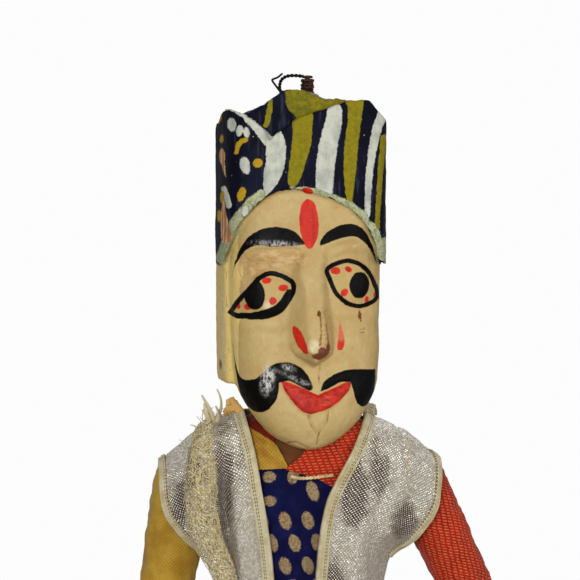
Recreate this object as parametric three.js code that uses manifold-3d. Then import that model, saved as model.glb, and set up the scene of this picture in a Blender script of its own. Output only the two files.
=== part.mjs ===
// A string puppet of the Rajasthani kind: a head, neck and trunk carved from one block of wood, a stuffed
// body and stuffed arms sewn over it, and a costume of robe, waistcoat, sash and long gored skirt.
// Millimetres, +Z up. The puppet faces -Y, its right hand is on the -X side, and the origin is on the
// wire that it hangs by, where that wire leaves the nail in the top of the turban.
import * as THREE from "three";
import { mergeVertices } from "three/addons/utils/BufferGeometryUtils.js";
import { ConvexGeometry } from "three/addons/geometries/ConvexGeometry.js";
import Module from "manifold-3d";

const wasm = await Module();
wasm.setup();

// ---- driving dimensions -------------------------------------------------------------------------

const GAP = 0.35; // left between pieces that touch
const NAIL_X = 3.1;
const NAIL_R = 1.1;
const NAIL_HEAD_R = 2.2;
const CHIN_Z = -157;
const TURBAN_EDGE_Z = -80; // the turban's lower edge at the temples and round the back
const TURBAN_HALF = 33.2;
const SHOULDER = { x: 51, z: -174 };
const REST_SPREAD = { right: 9, left: 26 }; // degrees that each arm hangs out from vertical
const ELBOW_DROP = 64; // shoulder to elbow
const WRIST_DROP = 121; // shoulder to wrist
const WAIST_Z = -266;
const HIP_R = 29; // ball at the foot of the stuffed body, which the skirt swings round
const COLLAR_Z = -136; // above the top of every layer of clothing
const FAR_OUT = 45; // further from the middle than any layer of clothing
const HEM_Z = -560;
const HEM_HALF = { x: 104, y: 78 };
const GORES = 8;
const LAYER = {
  robe: [0.4, 1.4],
  yoke: [1.8, 2.8],
  vest: [3.3, 4.7],
  trim: [5.05, 6.2],
}; // inner and outer face of each layer of clothing, measured out from the stuffing

// ---- colours ------------------------------------------------------------------------------------

const finish = (color, roughness = 0.8, metalness = 0) =>
  new THREE.MeshStandardMaterial({ color, roughness, metalness });
const LOOK = {
  wood: finish(0xcdb36a, 0.45),
  rust: finish(0x3a2017, 0.85, 0.4),
  wire: finish(0x1d1a17, 0.6, 0.6),
  calico: finish(0xb9a98a, 0.95),
  lining: finish(0x6b4a3a, 0.95),
  navy: finish(0x1c2350, 0.6),
  yellow: finish(0xd0a02c, 0.9),
  red: finish(0xc23a22, 0.85),
  silver: finish(0xb7b2a8, 0.4, 0.6),
  braid: finish(0xc9c093, 0.85),
  net: finish(0xb5a66c, 0.7, 0.2),
  thread: finish(0xd9bd7c, 0.9),
};

const puppet = new THREE.Group();

// ---- solids and geometry ------------------------------------------------------------------------

/** A closed geometry as a manifold-3d solid, with its faces pointing out. */
function solid(geometry) {
  const bare = geometry.index ? geometry.toNonIndexed() : geometry.clone();
  for (const name of Object.keys(bare.attributes)) {
    if (name !== "position") bare.deleteAttribute(name);
  }
  const merged = mergeVertices(bare, 1e-3);
  const triVerts = new Uint32Array(merged.index.array);
  const make = () =>
    new wasm.Manifold(
      new wasm.Mesh({ numProp: 3, vertProperties: merged.attributes.position.array, triVerts }),
    );
  const made = make();
  if (made.volume() > 0) return made;
  for (let i = 0; i < triVerts.length; i += 3) {
    [triVerts[i + 1], triVerts[i + 2]] = [triVerts[i + 2], triVerts[i + 1]];
  }
  return make();
}

/** A manifold-3d solid as a three.js geometry. */
function geometryOf(made) {
  const { numProp, numVert, vertProperties, triVerts } = made.getMesh();
  const position = new Float32Array(numVert * 3);
  for (let i = 0; i < numVert; i++) {
    position.set(vertProperties.subarray(i * numProp, i * numProp + 3), i * 3);
  }
  const geometry = new THREE.BufferGeometry();
  geometry.setAttribute("position", new THREE.BufferAttribute(position, 3));
  geometry.setIndex(new THREE.BufferAttribute(triVerts, 1));
  geometry.computeVertexNormals();
  return geometry;
}

/** The largest single body of a solid, without the slivers that a cut can leave beside it. */
function largest(made) {
  return made.decompose().reduce((a, b) => (b.volume() > a.volume() ? b : a));
}

/** Adds one named piece to a group. */
function piece(name, look, made, group = puppet) {
  const geometry = geometryOf(largest(made instanceof THREE.BufferGeometry ? solid(made) : made));
  const mesh = new THREE.Mesh(geometry, look);
  mesh.name = name;
  group.add(mesh);
  return mesh;
}

const box = (x, y, z) =>
  solid(
    new THREE.BoxGeometry(x[1] - x[0], y[1] - y[0], z[1] - z[0]).translate(
      (x[0] + x[1]) / 2,
      (y[0] + y[1]) / 2,
      (z[0] + z[1]) / 2,
    ),
  );

/** A closed body through outlines: outline(station, angle) gives each ring's points. */
function loft(stations, outline, sides) {
  const spans = stations.length - 1;
  const geometry = new THREE.CylinderGeometry(1, 1, spans, sides, spans);
  const p = geometry.attributes.position;
  for (let i = 0; i < p.count; i++) {
    const station = stations[Math.round(spans / 2 - p.getY(i))];
    const out = Math.hypot(p.getX(i), p.getZ(i));
    const rim = outline(station, Math.atan2(p.getZ(i), p.getX(i)));
    const middle = outline(station, null);
    p.setXYZ(i, ...middle.clone().lerp(rim, Math.min(1, out)).toArray());
  }
  return geometry;
}

/** A ring that is a superellipse: half wide, from front to back in Y, and squarer as square grows. */
function squareRing({ z, half, front, back, square = 2.4, x = 0 }, angle) {
  if (angle === null) return new THREE.Vector3(x, (front + back) / 2, z);
  const power = 2 / square;
  const c = Math.cos(angle);
  const s = Math.sin(angle);
  const across = half * Math.sign(c) * Math.abs(c) ** power;
  const deep = ((back - front) / 2) * Math.sign(s) * Math.abs(s) ** power;
  return new THREE.Vector3(x + across, (front + back) / 2 + deep, z);
}

/** Stations between the given ones, so that a body through few of them is smooth. */
function smoothed(stations, count) {
  const keys = Object.keys(stations[0]);
  const curves = keys.map((key) => {
    const points = stations.map((s, i) => new THREE.Vector2(i, s[key]));
    return new THREE.SplineCurve(points);
  });
  return Array.from({ length: count }, (_, i) => {
    const values = curves.map((curve) => curve.getPoint(i / (count - 1)).y);
    return Object.fromEntries(keys.map((key, k) => [key, values[k]]));
  });
}

/** The geometry with every point moved out along its normal. */
function grown(geometry, distance) {
  const bare = geometry.clone();
  bare.deleteAttribute("normal");
  bare.deleteAttribute("uv");
  const merged = mergeVertices(bare, 1e-3);
  merged.computeVertexNormals();
  const p = merged.attributes.position;
  const n = merged.attributes.normal;
  const outwards = solidVolume(merged) > 0 ? 1 : -1;
  for (let i = 0; i < p.count; i++) {
    const by = distance * outwards;
    p.setXYZ(i, p.getX(i) + by * n.getX(i), p.getY(i) + by * n.getY(i), p.getZ(i) + by * n.getZ(i));
  }
  return merged;
}

/** Signed volume of an indexed geometry: negative if its faces point in. */
function solidVolume(geometry) {
  const p = geometry.attributes.position;
  const index = geometry.index;
  const [a, b, c] = [new THREE.Vector3(), new THREE.Vector3(), new THREE.Vector3()];
  let total = 0;
  for (let i = 0; i < index.count; i += 3) {
    a.fromBufferAttribute(p, index.getX(i));
    b.fromBufferAttribute(p, index.getX(i + 1));
    c.fromBufferAttribute(p, index.getX(i + 2));
    total += a.dot(b.clone().cross(c)) / 6;
  }
  return total;
}

/** Everything inside an outline of [x, z] points, from y0 to y1. */
function frontCut(points, y0, y1) {
  const shape = new THREE.Shape(points.map(([x, z]) => new THREE.Vector2(x, z)));
  const geometry = new THREE.ExtrudeGeometry(shape, { depth: y1 - y0, bevelEnabled: false });
  return solid(geometry.rotateX(Math.PI / 2).translate(0, y1, 0));
}

/** A rod of the given radius along points. */
function rod(points, radius, steps = 24, sides = 8) {
  const curve = new THREE.CatmullRomCurve3(points.map((p) => new THREE.Vector3(...p)));
  const section = new THREE.Shape(
    Array.from({ length: sides }, (_, i) => {
      const a = (2 * Math.PI * i) / sides;
      return new THREE.Vector2(radius * Math.cos(a), radius * Math.sin(a));
    }),
  );
  return new THREE.ExtrudeGeometry(section, { steps, extrudePath: curve, bevelEnabled: false });
}

/** A body of revolution about Z through [radius, z] points. */
function turned(profile, sides = 32) {
  const points = profile.map(([r, z]) => new THREE.Vector2(r, z));
  return new THREE.LatheGeometry(points, sides).rotateX(Math.PI / 2);
}

// ---- carved block: turban, face, neck and trunk --------------------------------------------------

const SKULL = smoothed(
  [
    { z: -30, half: 30, front: -30.5, back: 24, square: 3.2 },
    { z: -50, half: 31, front: -31, back: 24, square: 3.2 },
    { z: -76, half: 31.4, front: -32, back: 24, square: 3 },
    { z: -100, half: 31, front: -31.5, back: 18, square: 2.8 },
    { z: -120, half: 30.5, front: -34, back: 10, square: 2.6 },
    { z: -131, half: 29, front: -35.5, back: 4, square: 2.4 },
    { z: -140, half: 24, front: -36, back: 0, square: 2.2 },
    { z: -148, half: 16.5, front: -34.5, back: -6, square: 2 },
    { z: -154, half: 8.5, front: -31, back: -13, square: 2 },
    { z: CHIN_Z, half: 2, front: -25, back: -19, square: 2 },
  ],
  11,
);
const BACK_OF_HEAD = [
  { z: -30, half: 31.7, front: -19, back: 25, square: 6 },
  { z: -124, half: 31.7, front: -19, back: 25, square: 6 },
  { z: -131, half: 28, front: -15, back: 22, square: 5 },
];
const NECK_AND_TRUNK = [
  { z: -118, half: 17, front: -12, back: 19, square: 2.6 },
  { z: -140, half: 16, front: -10, back: 18, square: 2.6 },
  { z: -150, half: 21, front: -11, back: 15, square: 4 },
  { z: -205, half: 19, front: -10, back: 13, square: 4 },
  { z: -230, half: 13, front: -9, back: 10, square: 4 },
];
const TURBAN_SECTION = { half: TURBAN_HALF, front: -33, back: 26.5, square: 4.2 };
// The folded front of the turban, with the notch between its side flap and its front band.
const TURBAN_FRONT_TOP = [
  [-34, -20.7],
  [-33.2, -16],
  [-31, -13.8],
  [-28.5, -15.7],
  [-25, -18.2],
  [-20.8, -21.9],
  [-16.8, -25.5],
  [-13, -23.8],
  [-8.8, -19],
  [-6.7, -17.8],
  [12, -12.1],
  [15.3, -11],
  [25, -9.6],
  [29, -13.5],
  [34, -18],
];
const TURBAN_BROW = [
  [34, -78],
  [30, -66],
  [22, -55.5],
  [12, -49.5],
  [0, -46.8],
  [-11, -47.8],
  [-22, -54],
  [-30, -66],
  [-34, TURBAN_EDGE_Z],
];
// The crest that stands up behind the folds.
const TURBAN_CREST = [
  [-34, -16.5],
  [-22, -15.7],
  [-15.5, -13.2],
  [-12, -10.3],
  [-7.5, -6.5],
  [-4, -5.9],
  [5.8, -6.9],
  [11, -10.7],
  [14.2, -10.7],
  [16, -9.6],
  [29.5, -10.3],
  [34, -18],
  [34, TURBAN_EDGE_Z],
  [-34, TURBAN_EDGE_Z],
];
const NOSE = [
  [-3.5, -32, -74],
  [3.5, -32, -74],
  [0, -34, -73],
  [-2, -47.5, -117],
  [4, -47.5, -117],
  [-13, -33, -118],
  [14, -33, -118],
  [-5, -45, -121],
  [7, -45, -121],
  [0, -30, -124],
];

const skull = loft(SKULL, squareRing, 28);
const backOfHead = loft(BACK_OF_HEAD, squareRing, 24);
const turbanPrism = solid(
  loft([{ ...TURBAN_SECTION, z: 0 }, { ...TURBAN_SECTION, z: TURBAN_EDGE_Z - 1 }], squareRing, 36),
);
const turban = turbanPrism.intersect(
  frontCut([...TURBAN_FRONT_TOP, ...TURBAN_BROW], -40, -9).add(frontCut(TURBAN_CREST, -9.5, 30)),
);
const head = solid(skull)
  .add(solid(backOfHead))
  .add(solid(loft(NECK_AND_TRUNK, squareRing, 20)))
  .add(turban)
  .add(solid(new ConvexGeometry(NOSE.map((p) => new THREE.Vector3(...p)))));
// The room that clothing leaves round the head.
const headRoom = solid(grown(skull, 0.7))
  .add(solid(grown(backOfHead, 0.7)))
  .add(solid(grown(loft(NECK_AND_TRUNK, squareRing, 20), 0.5)));

// ---- nail and hanging wire ----------------------------------------------------------------------

const WIRE_R = 0.45;
const WIRE_ARCH = [
  [NAIL_X - 2.7, 0, 0],
  [-4.9, 0, 0],
  [-7.7, 0, -1.1],
  [-8.6, 0, -2.6],
  [-8.8, -0.1, -4.6],
  [-8.2, -0.2, -6.5],
];
const WIRE_TAIL = [
  [-8.2, -0.2, -6.5],
  [-12.2, -0.8, -1.7],
  [-11.1, -0.9, -1.2],
  [-9.8, -0.9, -0.5],
  [-7.8, -0.9, 1.1],
];
const wire = solid(rod(WIRE_ARCH, WIRE_R, 12)).add(solid(rod(WIRE_TAIL, WIRE_R, 8)));
const wireRoom = solid(rod(WIRE_ARCH, WIRE_R + GAP, 12)).add(solid(rod(WIRE_TAIL, WIRE_R + GAP, 8)));
const NAIL = [
  [0, -44],
  [NAIL_R, -38],
  [NAIL_R, -0.8],
  [NAIL_HEAD_R, -0.6],
  [NAIL_HEAD_R, 0.2],
  [0, 0.5],
];
// Turns of wire wound on the nail, as the bulges of one turned body.
const TURNS_OF_WIRE = 4;
const BINDING_Z = [-7.4, -1.1]; // its foot and its top
const BINDING_R = { bore: NAIL_R + 0.3, groove: 2.3, crown: 2.9 };
const turnHeight = (BINDING_Z[1] - BINDING_Z[0]) / TURNS_OF_WIRE;
const BINDING = [[BINDING_R.bore, BINDING_Z[0]]];
for (let i = 0; i < TURNS_OF_WIRE; i++) {
  const foot = BINDING_Z[0] + turnHeight * i;
  BINDING.push([BINDING_R.groove, foot], [BINDING_R.crown, foot + turnHeight / 2]);
}
BINDING.push([BINDING_R.groove, BINDING_Z[1]], [BINDING_R.bore, BINDING_Z[1]], BINDING[0]);

/** A plain round hole down to foot, where the nail stands. */
function nailHole(radius, foot) {
  const above = 2;
  return solid(onNail(turned([[0, foot], [radius, foot], [radius, above], [0, above]], 20)));
}
const onNail = (geometry) => geometry.translate(NAIL_X, 0, 0);
const shankHole = nailHole(NAIL_R + 0.3, NAIL[0][1] - 2);
const nailRoom = shankHole.add(nailHole(BINDING_R.crown + 0.4, BINDING_Z[0] - GAP));
piece("carved_head", LOOK.wood, head.subtract(wireRoom).subtract(nailRoom));
piece("head_nail", LOOK.rust, solid(onNail(turned(NAIL, 16))));
piece("nail_binding", LOOK.rust, solid(onNail(turned(BINDING, 12))));
piece("hanging_wire", LOOK.wire, wire);

// ---- stuffed body -------------------------------------------------------------------------------

const hipRing = (z) => {
  const r = Math.sqrt(HIP_R ** 2 - (z - WAIST_Z) ** 2);
  return { z, half: r, front: -r, back: r, square: 2 };
};
const TORSO = [
  { z: -140, half: 11, front: -7, back: 9, square: 2.2 },
  { z: -142.5, half: 20, front: -11, back: 13, square: 2.3 },
  { z: -148, half: 27.5, front: -15.5, back: 17.5, square: 2.5 },
  { z: -156, half: 31.5, front: -19, back: 20, square: 2.6 },
  { z: -178, half: 32.5, front: -22, back: 21, square: 2.6 },
  { z: -200, half: 30.5, front: -21, back: 20, square: 2.4 },
  { z: -220, half: 26, front: -19, back: 18, square: 2.2 },
  { z: -235, half: 20.5, front: -18, back: 17.5, square: 2.1 },
  { z: -243, half: 18.8, front: -18.5, back: 18.5, square: 2 },
  ...[-249, -257, -266, -275, -283, -290, -294].map(hipRing),
];
const torso = loft(TORSO, squareRing, 22);
piece("torso_stuffing", LOOK.calico, solid(torso).subtract(headRoom));

/** A layer of clothing over the stuffed body, kept clear of the head. */
function layer([inner, outer]) {
  return solid(grown(torso, outer)).subtract(solid(grown(torso, inner))).subtract(headRoom);
}
const robe = layer(LAYER.robe);
const yoke = layer(LAYER.yoke);
const vest = layer(LAYER.vest);
const trim = layer(LAYER.trim);

// ---- robe, lining and yokes ---------------------------------------------------------------------

const ROBE_HEM_Z = -244;
const YOKE_HEM_Z = -165.5;
const SEAM_GAP = 0.2; // half the gap where two pieces of one layer meet
const ACROSS = [-FAR_OUT, FAR_OUT];
const FRONT = [-FAR_OUT, -SEAM_GAP];
const BACK = [SEAM_GAP, FAR_OUT];
const YOKE_Z = [YOKE_HEM_Z, COLLAR_Z];
piece("neck_lining", LOOK.lining, robe.intersect(box(ACROSS, FRONT, YOKE_Z)));
const chest = box(ACROSS, FRONT, [ROBE_HEM_Z, YOKE_HEM_Z - 0.3]);
piece("robe_chest_panel", LOOK.navy, robe.intersect(chest));
piece("robe_back_panel", LOOK.navy, robe.intersect(box(ACROSS, BACK, [ROBE_HEM_Z, COLLAR_Z - 2])));
const YELLOW_YOKE = [
  [-FAR_OUT, COLLAR_Z],
  [-22, COLLAR_Z],
  [-17, -152],
  [-8.2, -164.8],
  [-8.2, YOKE_HEM_Z],
  [-FAR_OUT, YOKE_HEM_Z],
];
const RED_YOKE = [
  [-8, YOKE_HEM_Z],
  [9, -151],
  [20, -140],
  [23, COLLAR_Z],
  [FAR_OUT, COLLAR_Z],
  [FAR_OUT, -178],
  [19, -176],
  [12, -172.8],
];
// Each yoke goes over the shoulder and halfway round the back.
const yokeRightCut = frontCut(YELLOW_YOKE, -FAR_OUT, 0.1).add(box(FRONT, [0, FAR_OUT], YOKE_Z));
const yokeLeftCut = frontCut(RED_YOKE, -FAR_OUT, -0.1).add(box(BACK, [-SEAM_GAP, FAR_OUT], YOKE_Z));
piece("yoke_right", LOOK.yellow, yoke.intersect(yokeRightCut));
piece("yoke_left", LOOK.red, yoke.intersect(yokeLeftCut));

// ---- waistcoat ----------------------------------------------------------------------------------

const VEST_HEM_Z = -233;
const VEST_TOP_Z = -134;
// The front edges, from the neck down, as [x, z].
const RIGHT_EDGE = [
  [-27, VEST_TOP_Z],
  [-23.8, -150],
  [-22.3, -165],
  [-19.4, -180],
  [-16, -205],
  [-14, VEST_HEM_Z],
];
const LEFT_EDGE = [
  [27, VEST_TOP_Z],
  [24, -150],
  [19, -161],
  [7, -180],
  [3, -200],
  [2, VEST_HEM_Z],
];
const BRAID_WIDTH = 4.4;
const besides = (edge, by) => edge.map(([x, z]) => [x + by, z]);
const rightFront = [...RIGHT_EDGE, [-FAR_OUT, VEST_HEM_Z], [-FAR_OUT, VEST_TOP_Z]];
const leftFront = [...LEFT_EDGE, [FAR_OUT, VEST_HEM_Z], [FAR_OUT, VEST_TOP_Z]];
piece("vest_front_right", LOOK.silver, vest.intersect(frontCut(rightFront, ...FRONT)));
piece("vest_front_left", LOOK.silver, vest.intersect(frontCut(leftFront, ...FRONT)));
piece("vest_back", LOOK.silver, vest.intersect(box(ACROSS, BACK, [VEST_HEM_Z, COLLAR_Z - 2])));
const braidStrip = (edge, out) => {
  const otherSide = besides(edge, out * BRAID_WIDTH).reverse();
  return frontCut([...edge, ...otherSide], ...FRONT);
};
piece("front_braid_right", LOOK.braid, trim.intersect(braidStrip(RIGHT_EDGE, -1)));
piece("front_braid_left", LOOK.braid, trim.intersect(braidStrip(LEFT_EDGE, 1)));

// A strip of frayed net laid over the right shoulder, beside the braid.
const SCARF_END_Z = VEST_HEM_Z + 14;
const SCARF = [
  [-31.8, VEST_TOP_Z],
  [-37, VEST_TOP_Z],
  [-37.5, -170],
  [-37, SCARF_END_Z],
  [-26, SCARF_END_Z],
  [-27.8, -165],
];
piece("net_scarf", LOOK.net, trim.intersect(frontCut(SCARF, ...FRONT)));

// ---- threads and knots --------------------------------------------------------------------------

/** A ring of thread: its centre, its radius, the thread's radius, and the axis that it goes round. */
function threadRing(centre, radius, thread, axis, stretch = [1, 1, 1]) {
  const ring = new THREE.TorusGeometry(radius, thread, 6, radius > 10 ? 28 : 12);
  ring.applyQuaternion(new THREE.Quaternion().setFromUnitVectors(new THREE.Vector3(0, 0, 1), axis));
  return ring.scale(...stretch).translate(...centre);
}
const X = new THREE.Vector3(1, 0, 0);
const Y = new THREE.Vector3(0, 1, 0);
const Z = new THREE.Vector3(0, 0, 1);

const TIE = [
  [-8.6, -27.6, -168.2],
  [-2, -28.6, -168.6],
  [5, -28, -167.6],
  [9.4, -27, -167],
];
piece("chest_tie_thread", LOOK.thread, solid(rod(TIE, 0.45, 12)));
const knot = solid(new THREE.SphereGeometry(2.4, 10, 6).translate(-31.5, -8, -135.6));
const clothed = solid(grown(torso, LAYER.trim[1] + GAP));
piece("neck_knot", LOOK.thread, knot.subtract(headRoom).subtract(clothed));
piece("back_string_loop", LOOK.thread, threadRing([0, 29.6, -215], 3, 0.5, X));

// ---- arms ---------------------------------------------------------------------------------------

const flatRing = ({ z, half, deep, x = 0 }, angle) =>
  angle === null
    ? new THREE.Vector3(x, 0, z)
    : new THREE.Vector3(x + half * Math.cos(angle), deep * Math.sin(angle), z);

const SEAM = 0.9; // half the thickness of the arm where it is sewn flat at the elbow
const UPPER_ARM = [
  { z: 13, half: 0.6, deep: 0.6 },
  { z: 11.8, half: 5.4, deep: 5.4 },
  { z: 8.2, half: 10, deep: 10 },
  { z: 3, half: 12.6, deep: 12.6 },
  { z: -4, half: 13, deep: 13 },
  { z: -18, half: 12.8, deep: 12.6 },
  { z: -34, half: 12.4, deep: 12 },
  { z: -46, half: 12, deep: 10.6 },
  { z: -56, half: 11.2, deep: 5.6 },
  { z: -ELBOW_DROP + 1.4, half: 10.4, deep: SEAM },
];
const FOREARM = [
  { z: -ELBOW_DROP - 1.4, half: 10.2, deep: SEAM },
  { z: -72, half: 10.8, deep: 5.2 },
  { z: -81, half: 11.2, deep: 9.6 },
  { z: -92, half: 10.8, deep: 10.4 },
  { z: -103, half: 9.8, deep: 9.6 },
  { z: -112, half: 9, deep: 9 },
];
const WRIST_R = 5.6;
const HAND = [
  { z: WRIST_R, half: 0.5, deep: 0.5 },
  { z: 4.2, half: 3.8, deep: 3.6 },
  { z: 0, half: WRIST_R, deep: 4.8 },
  { z: -5, half: 7.2, deep: 4.6 },
  { z: -11, half: 9, deep: 4.9 },
  { z: -19, half: 9.2, deep: 4.6 },
  { z: -26, half: 7.6, deep: 3.8 },
  { z: -31, half: 4.4, deep: 2.6 },
  { z: -32.6, half: 0.8, deep: 0.6 },
].map((s) => ({ ...s, z: s.z - WRIST_DROP }));

const ELBOW_SEAM_HALF = 9.6;
const CUFF_Z = [-106, -116];
const FLAP_WALL = 1.2;
const BRAID_WALL = 1.1;
// The inner face of the waistcoat's shoulder, as [distance out from the shoulder joint, radius round it].
const SHOULDER_FLAP = [
  [-11.5, 26.4],
  [0, 19.6],
  [8.6, 14.4],
];
const ARMHOLE = [
  [4, 17.2],
  [8.6, 14.4],
];

/** Half a turn of cloth over the top of the arm, from front to back. */
function overShoulder(line, wall, lift, out) {
  const inner = line.map(([x, r]) => new THREE.Vector2(r + lift, x));
  const outer = line.map(([x, r]) => new THREE.Vector2(r + lift + wall, x)).reverse();
  const shell = new THREE.LatheGeometry([...inner, ...outer, inner[0]], 28).rotateZ((-Math.PI / 2) * out);
  return solid(shell).intersect(box([-30, 30], [-40, 40], [-1.5, 40]));
}

const THUMB = [
  [3, -1, -5],
  [4, -6.4, -11],
  [4, -8, -18],
];

/** One arm: the waistcoat's shoulder and its braid, the lashing, and the stuffed arm and hand. */
function arm(side, out, look) {
  const at = new THREE.Group();
  at.position.set(out * SHOULDER.x, 0, SHOULDER.z);
  puppet.add(at);
  piece(`vest_shoulder_${side}`, LOOK.silver, overShoulder(SHOULDER_FLAP, FLAP_WALL, 0, out), at);
  piece(`armhole_braid_${side}`, LOOK.braid, overShoulder(ARMHOLE, BRAID_WALL, FLAP_WALL + GAP, out), at);
  piece(`shoulder_lashing_${side}`, LOOK.thread, threadRing([-13.1 * out, 0, 0], 2.6, 0.3, X), at);

  const hanging = new THREE.Group();
  hanging.rotation.y = -out * THREE.MathUtils.degToRad(REST_SPREAD[side]);
  at.add(hanging);
  piece(`upper_arm_${side}`, look, loft(UPPER_ARM, flatRing, 16), hanging);
  piece(`forearm_${side}`, look, loft(FOREARM, flatRing, 16), hanging);
  const seam = [-ELBOW_SEAM_HALF, 0, ELBOW_SEAM_HALF].map((x) => [x, 0, -ELBOW_DROP]);
  piece(`elbow_seam_${side}`, LOOK.thread, rod(seam, 0.6, 4), hanging);
  const [cuffTop, cuffFoot] = CUFF_Z;
  const cuff = [[9.9, cuffTop], [11.6, cuffTop], [11.2, cuffFoot], [9.7, cuffFoot], [9.9, cuffTop]];
  const sleeveRoom = solid(grown(loft(FOREARM, flatRing, 16), GAP));
  piece(`cuff_braid_${side}`, LOOK.braid, solid(turned(cuff, 20)).subtract(sleeveRoom), hanging);
  const thumb = THUMB.map(([x, y, z]) => [-x * out, y, z - WRIST_DROP]);
  const hand = solid(loft(HAND, flatRing, 12)).add(solid(rod(thumb, 2.4, 6)));
  piece(`hand_${side}`, LOOK.wood, hand, hanging);
  const loop = threadRing([11.4 * out, 0, -WRIST_DROP - 13], 1.8, 0.45, Y);
  piece(`hand_string_loop_${side}`, LOOK.thread, loop, hanging);
}
arm("right", -1, LOOK.yellow);
arm("left", 1, LOOK.red);

// ---- sash and skirt -----------------------------------------------------------------------------

/** A band of a sphere about the waist, from one angle to another down from vertical. */
function band(inner, outer, from, to, steps = 3) {
  const arc = (r, a, b) =>
    Array.from({ length: steps + 1 }, (_, i) => {
      const t = THREE.MathUtils.degToRad(a + ((b - a) * i) / steps);
      return [r * Math.sin(t), WAIST_Z + r * Math.cos(t)];
    });
  const profile = [...arc(inner, from, to), ...arc(outer, to, from)];
  return turned([...profile, profile[0]], 28);
}
const SASH = { inner: 33.4, outer: 35.6, from: 60, to: 93 };
const sashRoom = solid(band(SASH.inner - 6, SASH.outer + GAP, SASH.from - 8, SASH.to + 8));
const bow = new THREE.SphereGeometry(6, 12, 8).scale(1.25, 0.8, 1).translate(14, -36.5, WAIST_Z + 3);
piece("waist_sash", LOOK.red, solid(band(SASH.inner, SASH.outer, SASH.from, SASH.to)));
piece("skirt_drawcord", LOOK.thread, threadRing([0, 0, WAIST_Z + 14.8], 28.6, 0.45, Z));
piece("sash_knot", LOOK.red, solid(bow).subtract(sashRoom));

// The skirt's half widths below the hip ball, and how round it is, by height.
const SKIRT_IN = 30;
const SKIRT_WALL = 1.6;
const skirtTop = [65, 76, 88, 100, 112].map((a) => {
  const t = THREE.MathUtils.degToRad(a);
  const r = SKIRT_IN * Math.sin(t);
  return { z: WAIST_Z + SKIRT_IN * Math.cos(t), x: r, y: r };
});
const skirtBottom = [
  { z: -290, x: 34, y: 32 },
  { z: -315, x: 46, y: 38 },
  { z: -360, x: 60, y: 48 },
  { z: -430, x: 76, y: 59 },
  { z: -500, x: 91, y: 69 },
  { z: HEM_Z, ...HEM_HALF },
];
const SKIRT = [...skirtTop, ...skirtBottom];

/** One gore: a tall curved panel between two angles round the skirt. */
function gore(from, to) {
  const across = 4;
  const lines = SKIRT.map((s, k) => {
    const next = SKIRT[Math.min(k + 1, SKIRT.length - 1)];
    const last = SKIRT[Math.max(k - 1, 0)];
    const slope = Math.hypot(next.z - last.z, next.x - last.x) || 1;
    return { ...s, outX: (last.z - next.z) / slope, outZ: (next.x - last.x) / slope };
  });
  const geometry = new THREE.BoxGeometry(across, lines.length - 1, 1, across, lines.length - 1, 1);
  const p = geometry.attributes.position;
  for (let i = 0; i < p.count; i++) {
    const s = lines[Math.round((lines.length - 1) / 2 - p.getY(i))];
    const a = from + ((to - from) * (p.getX(i) + across / 2)) / across;
    const wall = p.getZ(i) > 0 ? SKIRT_WALL : 0;
    const c = Math.cos(a);
    const n = Math.sin(a);
    p.setXYZ(i, c * (s.x + wall * s.outX), n * (s.y + wall * s.outX), s.z + wall * s.outZ);
  }
  return geometry;
}
const seamAngle = 0.012;
const turn = (2 * Math.PI) / GORES;
const GORE_LOOKS = [LOOK.red, LOOK.yellow, LOOK.navy, LOOK.red];
for (let i = 0; i < GORES; i++) {
  const from = -Math.PI / 2 - turn / 2 + turn * i;
  const panel = gore(from + seamAngle, from + turn - seamAngle);
  piece(`skirt_gore_${i + 1}`, GORE_LOOKS[i % GORE_LOOKS.length], panel);
}

const HEM_BAND = 12;
const hemStation = (z, grow) => {
  const share = (z - HEM_Z) / (SKIRT.at(-2).z - HEM_Z);
  return {
    z,
    half: THREE.MathUtils.lerp(HEM_HALF.x, SKIRT.at(-2).x, share) + grow,
    deep: THREE.MathUtils.lerp(HEM_HALF.y, SKIRT.at(-2).y, share) + grow,
  };
};
const hemBody = (grow, over) => {
  const ends = [hemStation(HEM_Z + HEM_BAND + over, grow), hemStation(HEM_Z + 1 - over, grow)];
  return solid(loft(ends, flatRing, 28));
};
piece("skirt_hem_braid", LOOK.braid, hemBody(SKIRT_WALL + 2, 0).subtract(hemBody(SKIRT_WALL + 0.8, 2)));

export default puppet;
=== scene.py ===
import math
import random
from types import SimpleNamespace

import bmesh
import bpy
import numpy as np
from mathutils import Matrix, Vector, noise


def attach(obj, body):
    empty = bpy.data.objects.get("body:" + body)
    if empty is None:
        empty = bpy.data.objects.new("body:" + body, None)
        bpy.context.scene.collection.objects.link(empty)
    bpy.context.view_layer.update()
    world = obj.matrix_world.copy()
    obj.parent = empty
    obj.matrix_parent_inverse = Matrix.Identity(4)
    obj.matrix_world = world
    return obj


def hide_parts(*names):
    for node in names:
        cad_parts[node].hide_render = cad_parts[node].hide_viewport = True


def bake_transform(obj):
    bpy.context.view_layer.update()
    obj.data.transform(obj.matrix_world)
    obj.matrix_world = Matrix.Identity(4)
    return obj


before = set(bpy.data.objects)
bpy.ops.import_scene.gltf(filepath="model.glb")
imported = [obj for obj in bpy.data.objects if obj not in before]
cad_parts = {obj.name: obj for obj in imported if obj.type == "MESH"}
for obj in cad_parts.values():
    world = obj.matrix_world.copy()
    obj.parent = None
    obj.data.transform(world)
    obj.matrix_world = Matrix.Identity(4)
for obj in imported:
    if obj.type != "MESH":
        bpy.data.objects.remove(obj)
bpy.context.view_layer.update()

MM = 0.001
rng = random.Random(7)

# ---- camera and light ----------------------------------------------------------------------------

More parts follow.
